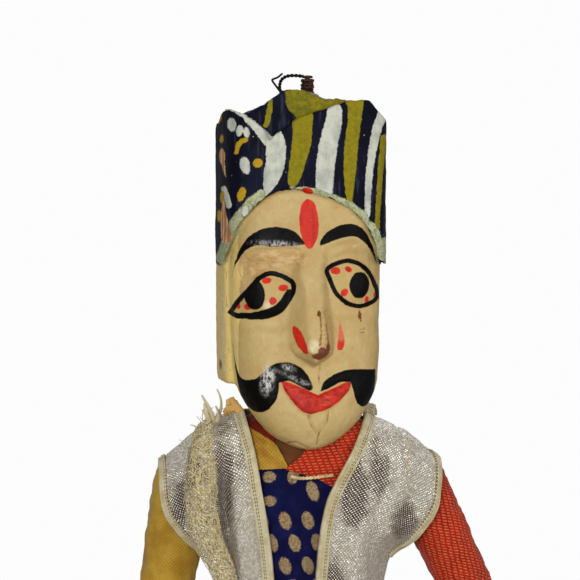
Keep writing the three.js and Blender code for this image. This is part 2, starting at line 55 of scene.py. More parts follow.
VIEW_TURN = math.radians(-9)  # the camera stands to the puppet's right of its face
VIEW_TILT = math.radians(2)
VIEW_CENTRE = Vector((-9.0, -29.0, -89.6)) * MM
VIEW_DISTANCE = 1.008
LENS = 150
CLIP_START = 0.05
ROOM_FROM_BELOW, ROOM_FROM_ABOVE = 0.24, 0.44  # how strongly the room lights the puppet
WHITE_SEEN = 0.98
LIT_PLACE = (0, 0, -0.15)
LIGHTS = {  # each lamp's place, its width and height, and its watts
    "key": ((-0.36, -1.1, -0.02), (0.28, 0.4), 7.8),
    "fill": ((0.9, -1.0, -0.05), (0.7, 0.7), 5.5),
    "back": ((0.3, 1.2, 0.6), (0.8, 0.8), 4),
}


def make_camera():
    level = math.cos(VIEW_TILT)
    back = Vector((math.sin(VIEW_TURN) * level, -math.cos(VIEW_TURN) * level, math.sin(VIEW_TILT)))
    camera = bpy.data.objects.new("camera", bpy.data.cameras.new("camera"))
    bpy.context.collection.objects.link(camera)
    camera.data.lens = LENS
    camera.data.clip_start = CLIP_START
    camera.location = VIEW_CENTRE + back * VIEW_DISTANCE
    camera.rotation_mode = "QUATERNION"
    camera.rotation_quaternion = (-back).to_track_quat("-Z", "Y")
    bpy.context.scene.camera = camera


def area_light(name, place, size, watts):
    lamp = bpy.data.lights.new(name, "AREA")
    lamp.shape = "RECTANGLE"
    lamp.size, lamp.size_y = size
    lamp.energy = watts
    light = bpy.data.objects.new(name, lamp)
    bpy.context.collection.objects.link(light)
    light.location = place
    light.rotation_mode = "QUATERNION"
    light.rotation_quaternion = (Vector(LIT_PLACE) - Vector(place)).to_track_quat("-Z", "Y")


def make_studio():
    """A white room that is brighter above than below, seen by the camera as plain white."""
    scene = bpy.context.scene
    scene.view_settings.view_transform = "Standard"
    world = bpy.data.worlds.new("studio")
    scene.world = world
    world.use_nodes = True
    nodes, links = world.node_tree.nodes, world.node_tree.links
    background = nodes["Background"]
    background.inputs["Color"].default_value = (1, 1, 1, 1)
    coordinates = nodes.new("ShaderNodeTexCoord")
    direction = nodes.new("ShaderNodeSeparateXYZ")
    links.new(coordinates.outputs["Generated"], direction.inputs["Vector"])
    room = nodes.new("ShaderNodeMapRange")
    room.interpolation_type = "SMOOTHSTEP"
    spans = {"From Min": -0.5, "From Max": 0.9, "To Min": ROOM_FROM_BELOW, "To Max": ROOM_FROM_ABOVE}
    for name, value in spans.items():
        room.inputs[name].default_value = value
    links.new(direction.outputs["Z"], room.inputs["Value"])
    seen = nodes.new("ShaderNodeLightPath")
    strength = nodes.new("ShaderNodeMix")
    strength.inputs["B"].default_value = WHITE_SEEN
    links.new(seen.outputs["Is Camera Ray"], strength.inputs["Factor"])
    links.new(room.outputs["Result"], strength.inputs["A"])
    links.new(strength.outputs["Result"], background.inputs["Strength"])
    for name, (place, size, watts) in LIGHTS.items():
        area_light(name, place, size, watts)


# ---- meshes -------------------------------------------------------------------------------------


def placed(name, mesh):
    """A new object in the scene."""
    thing = bpy.data.objects.new(name, mesh)
    bpy.context.collection.objects.link(thing)
    return thing


def smooth_shaded(thing):
    thing.data.polygons.foreach_set("use_smooth", [True] * len(thing.data.polygons))
    return thing


def mesh_object(name, points, faces):
    """A new smooth-shaded object from points in millimetres."""
    mesh = bpy.data.meshes.new(name)
    mesh.from_pydata((np.asarray(points, float) * MM).tolist(), [], [list(f) for f in faces])
    mesh.validate()
    mesh.update()
    return smooth_shaded(placed(name, mesh))


def grid_faces(rows, columns, wrap=False, start=0):
    """Quads over a grid of points stored row by row. A wrapped grid joins its last column to its first."""
    spans = columns if wrap else columns - 1
    faces = []
    for r in range(rows - 1):
        here, below = start + r * columns, start + (r + 1) * columns
        for c in range(spans):
            after = (c + 1) % columns
            faces.append((here + c, here + after, below + after, below + c))
    return faces


def end_faces(count, sides, start=0):
    """The two flat ends of a tube of count rings, each with the given number of sides."""
    last = start + (count - 1) * sides
    return [range(start, start + sides), range(last, last + sides)]


def curve(p0, p1, p2, p3, f):
    """A share f of the way from p1 to p2 on a smooth curve (Catmull-Rom)."""
    bend = (2 * p0 - 5 * p1 + 4 * p2 - p3) * f**2
    return 0.5 * (2 * p1 + (p2 - p0) * f + bend + (3 * p1 - p0 - 3 * p2 + p3) * f**3)


CURVE_STEPS = 6  # points made between each two of an outline's


def through(keys, count):
    """Rows of numbers on a smooth curve through the given rows, count of them."""
    keys = np.asarray(keys, float)
    t = np.linspace(0, len(keys) - 1, count)
    i = np.clip(t.astype(int), 0, len(keys) - 2)
    f = (t - i)[:, None]
    before, after = np.maximum(i - 1, 0), np.minimum(i + 2, len(keys) - 1)
    return curve(keys[before], keys[i], keys[i + 1], keys[after], f)


def loop_through(points):
    """A closed smooth outline through points. A point given twice is a sharp corner."""
    p = np.asarray(points, float)
    n = len(p)
    made = []
    for i in range(n):
        p0, p1, p2, p3 = p[i - 1], p[i], p[(i + 1) % n], p[(i + 2) % n]
        if np.allclose(p1, p2):
            continue
        for step in range(CURVE_STEPS):
            made.append(curve(p0, p1, p2, p3, step / CURVE_STEPS))
    return np.array(made)


def smoothstep(low, high, value):
    """0 at low and 1 at high, with a smooth change between."""
    t = np.clip((value - low) / (high - low), 0, 1)
    return t * t * (3 - 2 * t)


def bump(value, centre, width):
    """A smooth hill of height 1."""
    return np.exp(-(((value - centre) / width) ** 2))


def read_vectors(thing, name):
    values = np.empty(len(thing.data.vertices) * 3)
    thing.data.vertices.foreach_get(name, values)
    return values.reshape(-1, 3)


def points_of(thing):
    return read_vectors(thing, "co") / MM


def normals_of(thing):
    return read_vectors(thing, "normal")


def move_points(thing, points):
    thing.data.vertices.foreach_set("co", (np.asarray(points) * MM).ravel())
    thing.data.update()


def rough_field(points, scale, seed=0.0, octaves=2):
    """Smooth noise at each point, about -1 to 1, with features of the given size in millimetres."""
    shift = Vector((seed * 17.3, seed * 5.1, seed * 9.7))
    return np.array([noise.fractal(Vector(p) / scale + shift, 0.7, 2.0, octaves) for p in points])


def apply_modifiers(thing):
    bpy.context.view_layer.objects.active = thing
    for modifier in list(thing.modifiers):
        with bpy.context.temp_override(object=thing, active_object=thing, selected_objects=[thing]):
            bpy.ops.object.modifier_apply(modifier=modifier.name)


def soften(thing, times, where):
    """Smooths a mesh, more where the given share is near 1."""
    group = thing.vertex_groups.new(name="where")
    levels = 10
    for level in range(1, levels + 1):
        chosen = np.flatnonzero(np.round(where * levels) == level)
        group.add(chosen.tolist(), level / levels, "REPLACE")
    smooth = thing.modifiers.new("soften", "SMOOTH")
    smooth.iterations = times
    smooth.factor = 0.5
    smooth.vertex_group = group.name
    apply_modifiers(thing)
    thing.vertex_groups.clear()


def join(name, things):
    """Several objects as one."""
    whole = bmesh.new()
    for thing in things:
        whole.from_mesh(thing.data)
        bpy.data.objects.remove(thing)
    mesh = bpy.data.meshes.new(name)
    whole.to_mesh(mesh)
    whole.free()
    return placed(name, mesh)


def one_skin(thing, voxel):
    """Remakes overlapping closed shapes as one skin of small even faces, voxel millimetres wide."""
    remesh = thing.modifiers.new("skin", "REMESH")
    remesh.mode = "VOXEL"
    remesh.voxel_size = voxel * MM
    apply_modifiers(thing)
    return thing


def set_number(thing, name, values):
    """A number for every point, which a material reads by its name."""
    attribute = thing.data.attributes.get(name) or thing.data.attributes.new(name, "FLOAT", "POINT")
    attribute.data.foreach_set("value", np.asarray(values, np.float32))


# ---- distances to painted shapes ----------------------------------------------------------------

FAR = 9.0  # a distance that means "nowhere near"
NEAR = 3.0  # distances are worked out this close to a shape, and beyond it they are FAR


def distance_to_line(points, line):
    """Distance from 2-D points to a polyline, and how far along it each nearest place is, from 0 to 1."""
    line = np.asarray(line, float)
    best = np.full(len(points), np.inf)
    along = np.zeros(len(points))
    spans = len(line) - 1
    for i in range(spans):
        a, d = line[i], line[i + 1] - line[i]
        t = np.clip(((points - a) @ d) / max(d @ d, 1e-9), 0, 1)
        gap = np.hypot(*(points - a - t[:, None] * d).T)
        closer = gap < best
        best = np.where(closer, gap, best)
        along = np.where(closer, (i + t) / spans, along)
    return best, along


def inside(points, outline):
    """Which 2-D points lie inside a closed outline."""
    hit = np.zeros(len(points), bool)
    a = np.asarray(outline)
    b = np.roll(a, -1, axis=0)
    x, z = points.T
    for (ax, az), (bx, bz) in zip(a, b):
        if az == bz:
            continue
        crosses = ((az > z) != (bz > z)) & (x < (bx - ax) * (z - az) / (bz - az) + ax)
        hit ^= crosses
    return hit


class Sheet:
    """Signed distances on a flat drawing: negative inside a shape, positive outside it."""

    def __init__(self, points):
        self.points = np.asarray(points, float)

    def near(self, shape, room):
        low, high = np.min(shape, axis=0) - room, np.max(shape, axis=0) + room
        return np.all((self.points > low) & (self.points < high), axis=1)

    def area(self, outline):
        """Inside a smooth closed outline."""
        shape = loop_through(outline)
        made = np.full(len(self.points), FAR)
        near = self.near(shape, NEAR)
        if near.any():
            here = self.points[near]
            gap, _ = distance_to_line(here, np.vstack([shape, shape[:1]]))
            made[near] = np.where(inside(here, shape), -gap, gap)
        return made

    def stroke(self, line, width, end_width=None, smooth=True):
        """Along a brush stroke, which may widen or narrow."""
        curved = smooth and len(line) > 2
        path = through(line, CURVE_STEPS * len(line)) if curved else np.asarray(line, float)
        end_width = width if end_width is None else end_width
        made = np.full(len(self.points), FAR)
        near = self.near(path, NEAR + max(width, end_width))
        if near.any():
            gap, along = distance_to_line(self.points[near], path)
            made[near] = gap - (width + (end_width - width) * along) / 2
        return made

    def dab(self, x, z, wide, tall, lean=0.0):
        """An oval dab of paint, leaning by an angle in degrees."""
        c, s = math.cos(math.radians(lean)), math.sin(math.radians(lean))
        over, up = self.points[:, 0] - x, self.points[:, 1] - z
        u, v = over * c + up * s, -over * s + up * c
        r = np.sqrt((u / (wide / 2)) ** 2 + (v / (tall / 2)) ** 2)
        return (r - 1) * min(wide, tall) / 2


def union(*distances):
    """The distance to the nearest of several shapes."""
    return np.minimum.reduce(distances)


# ---- materials ----------------------------------------------------------------------------------


class Finish:
    """A procedural material, built from short calls that each add one shader node."""

    def __init__(self, name, metallic=0.0):
        self.material = bpy.data.materials.new(name)
        self.material.use_nodes = True
        self.tree = self.material.node_tree
        self.shader = self.tree.nodes["Principled BSDF"]
        self.shader.inputs["Metallic"].default_value = metallic
        self.place = self.add("ShaderNodeTexCoord").outputs["Object"]

    def add(self, kind, inputs=(), **settings):
        made = self.tree.nodes.new(kind)
        for key, value in settings.items():
            setattr(made, key, value)
        for key, value in dict(inputs).items():
            self.feed(made.inputs[key], value)
        return made

    def feed(self, socket, value):
        if isinstance(value, bpy.types.NodeSocket):
            self.tree.links.new(value, socket)
        elif socket.type == "RGBA" and len(value) == 3:
            socket.default_value = (*value, 1)
        else:
            socket.default_value = value

    def number(self, name):
        """A number that the mesh keeps for every point."""
        return self.add("ShaderNodeAttribute", attribute_name=name).outputs["Fac"]

    def stretched(self, x, y, z):
        """Places scaled along each axis: a small scale draws features out along it."""
        scale = {"Vector": self.place, "Scale": (x, y, z)}
        return self.add("ShaderNodeMapping", scale).outputs["Vector"]

    def noise(self, size, detail=3.0, rough=0.55, where=None):
        """Noise from 0 to 1 with features of about the given size in millimetres."""
        settings = {
            "Vector": where or self.place,
            "Scale": 1 / (size * MM),
            "Detail": detail,
            "Roughness": rough,
        }
        return self.add("ShaderNodeTexNoise", settings).outputs["Fac"]

    def cells(self, size):
        """Distance to the middle of the nearest of many scattered cells of about the given size."""
        settings = {"Vector": self.place, "Scale": 1 / (size * MM)}
        return self.add("ShaderNodeTexVoronoi", settings).outputs["Distance"]

    def maths(self, operation, a, b=0.0, c=0.0):
        made = self.add("ShaderNodeMath", operation=operation)
        for socket, value in zip(made.inputs, (a, b, c)):
            self.feed(socket, value)
        return made.outputs[0]

    def plus(self, a, b):
        return self.maths("ADD", a, b)

    def times(self, a, b):
        return self.maths("MULTIPLY", a, b)

    def scaled(self, a, by, plus):
        return self.maths("MULTIPLY_ADD", a, by, plus)

    def sine(self, a):
        return self.maths("SINE", a)

    def step(self, value, low, high, to_low=0.0, to_high=1.0):
        """A smooth change from to_low at low to to_high at high."""
        settings = {
            "Value": value,
            "From Min": low,
            "From Max": high,
            "To Min": to_low,
            "To Max": to_high,
        }
        made = self.add("ShaderNodeMapRange", settings, interpolation_type="SMOOTHSTEP")
        return made.outputs["Result"]

    def mix(self, share, a, b, kind="MIX"):
        made = self.add("ShaderNodeMix", data_type="RGBA", blend_type=kind)
        for key, value in ((0, share), (6, a), (7, b)):
            self.feed(made.inputs[key], value)
        return made.outputs[2]

    def layers(self, base, *coats):
        """A colour with coats over it, each as (where, colour). A tuple is a colour from 0 to 255."""
        screen = lambda colour: shade(*colour) if isinstance(colour, tuple) else colour
        made = screen(base)
        for where, colour in coats:
            made = self.mix(where, made, screen(colour))
        return made

    def painted(self, name, wobble=0.0, soft=0.22):
        """1 inside a painted shape, whose distance in millimetres is kept on the mesh."""
        edge = self.plus(self.number(name), wobble)
        return self.step(edge, soft, -soft)

    def finish(self, colour, roughness, height, depth, sheen=None):
        """Sets the surface: depth is the bump's height in millimetres."""
        self.feed(self.shader.inputs["Base Color"], colour)
        self.feed(self.shader.inputs["Roughness"], roughness)
        bumped = {"Height": height, "Strength": 1.0, "Distance": depth * MM}
        self.feed(self.shader.inputs["Normal"], self.add("ShaderNodeBump", bumped).outputs["Normal"])
        if sheen is not None:
            self.shader.inputs["Sheen Weight"].default_value = sheen
            self.shader.inputs["Sheen Roughness"].default_value = 0.4
        return self.material


def shade(red, green, blue):
    """A colour given as it looks on a screen, 0 to 255."""
    return tuple((v / 255) ** 2.2 for v in (red, green, blue))


# ---- the carved head ----------------------------------------------------------------------------
# The face and turban are laid out on a drawing, as (a, z): a is measured across the head as it is seen
# from VIEW_TURN, and z is the height. The head stands on X = 0 with its face towards -Y.

ACROSS = (math.cos(VIEW_TURN), math.sin(VIEW_TURN))

# Rings of the wooden block, as z, half width, front, back, squareness.
SKULL = [
    (-28, 31.0, -30.2, 24, 3.2),
    (-50, 31.8, -30.8, 24, 3.4),
    (-64, 32.0, -31.6, 24, 3.5),
    (-80, 32.2, -31.0, 24, 3.4),
    (-100, 32.0, -32.0, 21, 3.1),
    (-118, 31.2, -34.0, 10, 2.7),
    (-130, 29.6, -35.6, 5, 2.5),
    (-139, 25.6, -36.0, 1, 2.3),
    (-146, 20.6, -35.2, -4, 2.15),
    (-151.5, 14.6, -33.0, -9, 2.05),
    (-155.4, 7.6, -30.0, -14, 2.0),
    (-157, 2.0, -26.0, -19, 2.0),
]
BACK_OF_HEAD = [(-30, 32.7, -14, 25, 8), (-121, 32.7, -14, 25, 8), (-127.8, 30.6, -13, 21, 6)]
BACK_OF_HEAD_X = -1.3  # it stands a little to the right of the face
NECK = [(-116, 17, -12, 19, 2.6), (-140, 16, -10, 18, 2.6), (-150, 21, -11, 15, 4), (-175, 20, -10, 14, 4)]
NOSE = [
    (-6.4, -30.8, -71),
    (4.6, -30.8, -71),
    (-3.4, -33.6, -78),
    (1.8, -33.8, -78),
    (-3.4, -38.9, -98),
    (3.4, -39.0, -98),
    (-2.4, -44.4, -114.8),
    (3.2, -44.4, -115.2),
    (-11.6, -31.0, -106),
    (10.0, -31.0, -106),
    (-9.0, -35.4, -115.5),
    (7.8, -35.6, -116.0),
    (0.0, -41.4, -119.8),
    (0, -30, -123),
]
# The turban's section, and its edges as (a, z): the front panel, the folded flap and the crest behind them.
TURBAN = (34.0, -32.7, 26.0, 4.8)
PANEL_TOP = [
    (-16, -29), (-13, -27.6), (-9.4, -24.2), (-5.5, -21.4), (-0.6, -17.6), (11.5, -13.9), (20, -11.2),
    (26, -10.2), (29.4, -10.4), (32.7, -14.4), (36, -18.4),
]
FLAP_TOP = [
    (-36, -20.5), (-34.9, -17.2), (-32.6, -14.4), (-30.2, -13.7), (-25, -15.6), (-20, -18.8),
    (-16, -22.0), (-12.6, -25.6), (-11.4, -27.6),
]
CREST_TOP = [
    (-35, -19), (-22, -15.6), (-16, -13.0), (-11.4, -9.6), (-8.2, -6.8), (-4.6, -5.9), (5.8, -6.7),
    (8, -9.0), (11, -10.9), (14.8, -9.8), (20, -10.6), (28, -10.6), (33, -15), (36, -19),
]
BROW_LINE = [
    (-40, -79.6), (-33, -79.6), (-31.2, -74.5), (-28.4, -66.6), (-25.1, -61.4), (-19.6, -55.8),
    (-14.5, -51.3), (-10, -48.8), (-2.7, -47.6), (5.7, -49.2), (13.2, -51.8), (20.8, -55.6),
    (27.2, -62.0), (31.8, -71.6), (33.4, -79.6), (40, -79.6),
]
FLAP_EDGE = -13.6  # where the flap's edge stands on the front panel
TURBAN_FOOT = -79.6  # the turban's edge round the sides and the back
FLAP_PROUD = 1.3
HEAD_VOXEL = 0.62
NOSE_CRACKS = [[(8.0, -98.0), (8.6, -106), (8.0, -112)], [(10.6, -103.0), (11.4, -110), (11.6, -114)]]


def ring(angle, half, front, back, square):
    """Points of a rounded rectangle at angles round it."""
    c, s = np.cos(angle), np.sin(angle)
    power = 2 / square
    x = half * np.sign(c) * np.abs(c) ** power
    y = (front + back) / 2 + (back - front) / 2 * np.sign(s) * np.abs(s) ** power
    return x, y


def loft(name, rings, count, sides=96, shift=0.0):
    """A closed body through rings of (z, half width, front, back, squareness)."""
    rows = through(rings, count) if len(rings) > 2 else np.asarray(rings, float)
    angle = np.linspace(0, 2 * np.pi, sides, endpoint=False)
    points = []
    for z, half, front, back, square in rows:
        x, y = ring(angle, half, front, back, square)
        points += list(zip(x + shift, y, np.full(sides, z)))
    faces = grid_faces(len(rows), sides, wrap=True) + end_faces(len(rows), sides)
    return outward(mesh_object(name, points, faces))


def outward(thing):
    """Turns every face of a closed mesh to point out."""
    shell = bmesh.new()
    shell.from_mesh(thing.data)
    bmesh.ops.recalc_face_normals(shell, faces=shell.faces)
    shell.to_mesh(thing.data)
    shell.free()
    return thing


def height_at(line, a):
    """The height of a line on the drawing at a."""
    line = np.asarray(line)
    return np.interp(a, line[:, 0], line[:, 1])


def wound_slab(name, angles, top, foot, proud, thick=7.0):
    """A slab that stands round the turban between two angles, with a top and a foot given by the drawing."""
    half, front, back, square = TURBAN
    rows, columns = 40, len(angles)
    layers = []
    for grow in (proud, -thick):
        x, y = ring(angles, half + grow, front - grow, back + grow, square)
        a = ACROSS[0] * x + ACROSS[1] * y
        high = top(a, x, y)
        low = foot(a, x, y)
        for share in np.linspace(0, 1, rows):
            layers += list(zip(x, y, low + (high - low) * share))
    size = rows * columns
    outer = grid_faces(rows, columns)
    inner = [tuple(reversed(f)) for f in grid_faces(rows, columns, start=size)]
    sides = []
    for c in range(columns - 1):
        sides.append((c, size + c, size + c + 1, c + 1))
        last = (rows - 1) * columns + c
        sides.append((last, last + 1, size + last + 1, size + last))
    for r in range(rows - 1):
        for c in (0, columns - 1):
            i = r * columns + c
            sides.append((i, i + columns, size + i + columns, size + i))
    return outward(mesh_object(name, layers, outer + inner + sides))


def carve_head():
    """The solid parts of the head, run together into one skin."""
    front_foot = lambda a, x, y: np.where(y < -8, height_at(BROW_LINE, a), TURBAN_FOOT)
    crest_top = lambda a, x, y: height_at(CREST_TOP, np.where(y < 0, a, x))
    panel_back = lambda a, x, y: np.minimum(crest_top(a, x, y), -14) - 2
    panel_top = lambda a, x, y: np.where(y < -4, height_at(PANEL_TOP, a), panel_back(a, x, y))
    flap_top = lambda a, x, y: np.where(y < -4, height_at(FLAP_TOP, a), -17 - 0.2 * (y + 4))
    seam = -math.pi / 2 - 0.27  # the angle of the flap's edge, to the puppet's right of its brow
    around = 220
    parts = [
        loft("skull", SKULL, 60),
        loft("back_of_head", BACK_OF_HEAD, 30, shift=BACK_OF_HEAD_X),
        loft("neck", NECK, 20, 60),
        wound_slab("crest", np.linspace(0, 2 * np.pi, around), crest_top, front_foot, -3.2, 16),
        wound_slab("panel", np.linspace(seam, seam + 3.9, around), panel_top, front_foot, 0),
        wound_slab("flap", np.linspace(seam - 2.35, seam, around), flap_top, front_foot, FLAP_PROUD),
    ]
    hull = bmesh.new()
    for point in NOSE:
        hull.verts.new(Vector(point) * MM)
    bmesh.ops.convex_hull(hull, input=hull.verts)
    mesh = bpy.data.meshes.new("nose")
    hull.to_mesh(mesh)
    hull.free()
    head = one_skin(join("head", [*parts, placed("nose", mesh)]), HEAD_VOXEL)
    x, y, z = points_of(head).T
    round_nose = smoothstep(15, 11, np.abs(x)) * smoothstep(-66, -74, z) * smoothstep(-117, -108, z)
    soften(head, 5, np.ones(len(x)))
    soften(head, 26, round_nose * (y < -20))
    brow = np.abs(z - height_at(BROW_LINE, ACROSS[0] * x + ACROSS[1] * y))
    soften(head, 12, smoothstep(3.5, 1.0, brow) * (y < -8))
    return head


# The painted shapes, on the drawing. A point given twice is a sharp corner.
HALO = [  # brush strokes, each with its widths at the start and the end
    (
        [(-33.4, -76.5), (-30.8, -70.0), (-28.0, -63.6), (-25.8, -59.6), (-21.0, -53.8), (-16.4, -49.6)],
        5.6, 3.6,
    ),
    (
        [(-4, -46.8), (5, -48.0), (13, -50.5), (20.2, -53.8), (26.9, -59.6), (31.8, -66.4), (34.4, -76)],
        1.4, 3.8,
    ),
    ([(35.4, -69), (35.4, -80)], 3.6),
]
OLIVE = [
    (-6.9, -3.0), (-6.9, -3.0), (-6.4, -7.0), (-5.2, -13.8), (-0.8, -18.4), (-0.8, -18.4),
    (3.5, -16.2), (11.2, -14.0), (19.4, -12.4), (26.2, -10.4), (27, -3.0), (27, -3.0),
]
OCHRE_SHADOW = [
    (-25, -78), (-14, -72.4), (-4, -72.4), (2.5, -74.5), (1.6, -79), (-6, -80.2), (-14, -80.6), (-20, -85),
]
SPOTS = {  # ovals, as middle, width, height and lean
    "wear": [
        (9.2, -115.2, 4.4, 4.6, 10),
        (7.0, -116.8, 4.8, 2.4, -12),
        (11.4, -113.6, 1.8, 4.6),
        (7.8, -99.4, 1.6, 2.4, 10),
        (24.9, -100.6, 1.3, 4.4, 5),
    ],
    # painted glare: highlights on the moustache and along the left brow
    "painted_glare": [
        (-13.7, -126.6, 5.2, 11.0, -8),
        (-5.0, -121.6, 3.6, 1.6, -20),
        (-2.6, -126.2, 6, 0.7, -24),
        (-9.6, -70.4, 11, 1.6, -3),
    ],
    # painted highlights on the nose tip and in the left eye
    "pale": [(5.4, -112.4, 4.6, 5.0), (-13.6, -96.2, 3.0, 3.6, 20)],
}
BROWS = [
    [
        (2.3, -70.4), (2.3, -70.4), (-2.9, -65.0), (-10.2, -63.3), (-16.5, -64.4), (-21.9, -67.8),
        (-26.2, -74.6), (-28.9, -84.6), (-28.9, -84.6), (-27.0, -79.0), (-22.8, -73.2), (-18.1, -71.0),
        (-10.2, -71.4), (-1.9, -71.0),
    ],
    [
        (8.3, -71.2), (8.3, -71.2), (8.4, -68.8), (11.5, -65.2), (16.5, -62.6), (21.9, -62.1),
        (26.4, -64.4), (30.0, -70.4), (32.6, -79.8), (32.6, -79.8), (29.6, -73.4), (26.0, -69.0),
        (21.6, -67.2), (14.8, -68.8),
    ],
]
# Each eye's outline goes from its outer corner over the top to its inner end and back.
EYE_LEFT = [
    (-31.0, -99.6), (-31.0, -99.6), (-26.9, -93.8), (-21.4, -87.7), (-17.4, -83.6), (-12.1, -81.6),
    (-5.6, -83.6), (-2.0, -86.8), (-2.8, -92.4), (-8.6, -99.6), (-17.5, -101.9), (-27.2, -101.3),
]
EYE_RIGHT = [
    (33.8, -93.0), (33.8, -93.0), (32.6, -88.0), (28.9, -81.2), (23.0, -77.1), (16.8, -77.0),
    (10.2, -80.6), (11.6, -86.1), (14.2, -91.6), (19.5, -96.2), (25.5, -97.4), (31.4, -95.4),
]
MOUSTACHE = [
    [
        (5.4, -130.2), (5.4, -130.2), (2.6, -124.2), (-1.5, -120.6), (-6.9, -119.4), (-11.5, -120.6),
        (-15.4, -124.0), (-19.4, -126.7), (-24.4, -126.6), (-26.6, -122.6), (-28.6, -111.5),
        (-28.6, -111.5), (-27.0, -124.6), (-25.8, -131.6), (-23.0, -137.9), (-18.4, -140.6),
        (-13.2, -139.2), (-9.7, -134.0), (-8.9, -128.0), (-8.9, -128.0), (-4.8, -127.2),
        (-0.6, -129.0), (3.6, -131.2),
    ],
    [
        (8.3, -131.6), (8.3, -131.6), (9.4, -128.2), (12.6, -125.6), (16.4, -123.6), (22.0, -122.7),
        (31.8, -123.2), (31.8, -123.2), (31.4, -130.8), (29.6, -136.4), (26.7, -138.8), (23.6, -136.8),
        (22.1, -131.6), (21.0, -128.0), (21.0, -128.0), (16.5, -128.0), (12.0, -130.4),
    ],
]
LIPS = [
    (-8.6, -126.7), (-8.6, -126.7), (0, -129.6), (7.3, -133.2), (7.3, -133.2), (13.4, -130.4),
    (20.0, -127.9), (21.2, -128.8), (19.5, -132.4), (13.0, -138.2), (4.2, -141.2), (4.2, -141.2),
    (0.2, -139.4), (-5.0, -133.6),
]
BROW_SHELVES = [  # where the wood is cut back between each brow and its eye, and how deep
    (
        [(-26, -80), (-22, -73.6), (-14, -71.4), (-2, -71.6), (1.5, -75), (-2, -82), (-12, -80), (-22, -88)],
        1.2,
    ),
    ([(10, -73), (18, -69), (25, -69.6), (31, -76), (30, -84), (22, -76), (12, -78)], 0.8),
]
CHIN_CRACKS = [
    [(-5.4, -153.6), (-1.4, -153.3), (3.2, -155.8)],
    [(3.1, -141.7), (4.4, -145.6), (6.4, -149.2)],
    [(11.6, -140.2), (10.9, -145.6)],
    [(8.4, -148.2), (7.2, -151.0), (6.9, -154.4)],
]


def eye_lines(drawing):
    """The thick black outlines of both eyes, and the oval irises cut off by them."""
    left, right = drawing.area(EYE_LEFT), drawing.area(EYE_RIGHT)
    iris_left = drawing.dab(-19.2, -91.5, 8.8, 12.6, 4)
    iris_right = drawing.dab(24.7, -87.7, 8.4, 11.2, -3)
    rims = union(np.abs(left + 1.05) - 1.05, np.abs(right + 0.95) - 0.95)
    # The left eye's outline is widest under it.
    rims = union(rims, drawing.stroke([
        (-26.5, -100.6), (-18, -99.9), (-9.4, -97.0), (-4.6, -91.0),
    ], 2.4, 3.6))
    return union(rims, np.maximum(iris_left, left), np.maximum(iris_right, right))


def red_marks(drawing):
    """Red in the corners of the eyes, the mark on the forehead, the bridge of the nose and the left cheek."""
    eye_spots = [
        (-14.0, -85.6, 4.1, 2.7, 6),
        (-7.2, -88.6, 4.2, 2.8, 4),
        (-11.4, -94.0, 3.2, 3.2, -12),
        (-22.2, -96.7, 3.0, 2.6, -20),
        (-26.0, -96.6, 1.7, 2.4, 0),
        (14.7, -81.7, 4.4, 3.1, -10),
        (20.1, -81.0, 3.1, 2.2, -20),
        (18.4, -90.7, 3.0, 3.5, -35),
        (27.9, -93.8, 1.9, 2.8, -15),
        (31.6, -92.2, 1.6, 2.6, 10),
    ]
    forehead = [
        (3.4, -51.6), (6.2, -54.0), (7.5, -60.4), (7.2, -67.0), (5.0, -71.8), (2.6, -71.8),
        (0.2, -66.4), (-0.4, -59.6), (0.6, -53.6),
    ]
    nose = [
        (-2.9, -104.4), (-0.6, -105.6), (1.6, -109.2), (3.2, -115.0), (1.6, -115.4), (-1.4, -112.0),
        (-3.2, -107.6),
    ]
    cheek = [
        (16.4, -101.2), (16.4, -101.2), (17.6, -106.5), (18.5, -111.5), (17.6, -114.4), (15.4, -114.2),
        (15.9, -108),
    ]
    spots = [drawing.dab(*spot) for spot in eye_spots]
    return union(*spots, *[drawing.area(shape) for shape in (forehead, nose, cheek)])


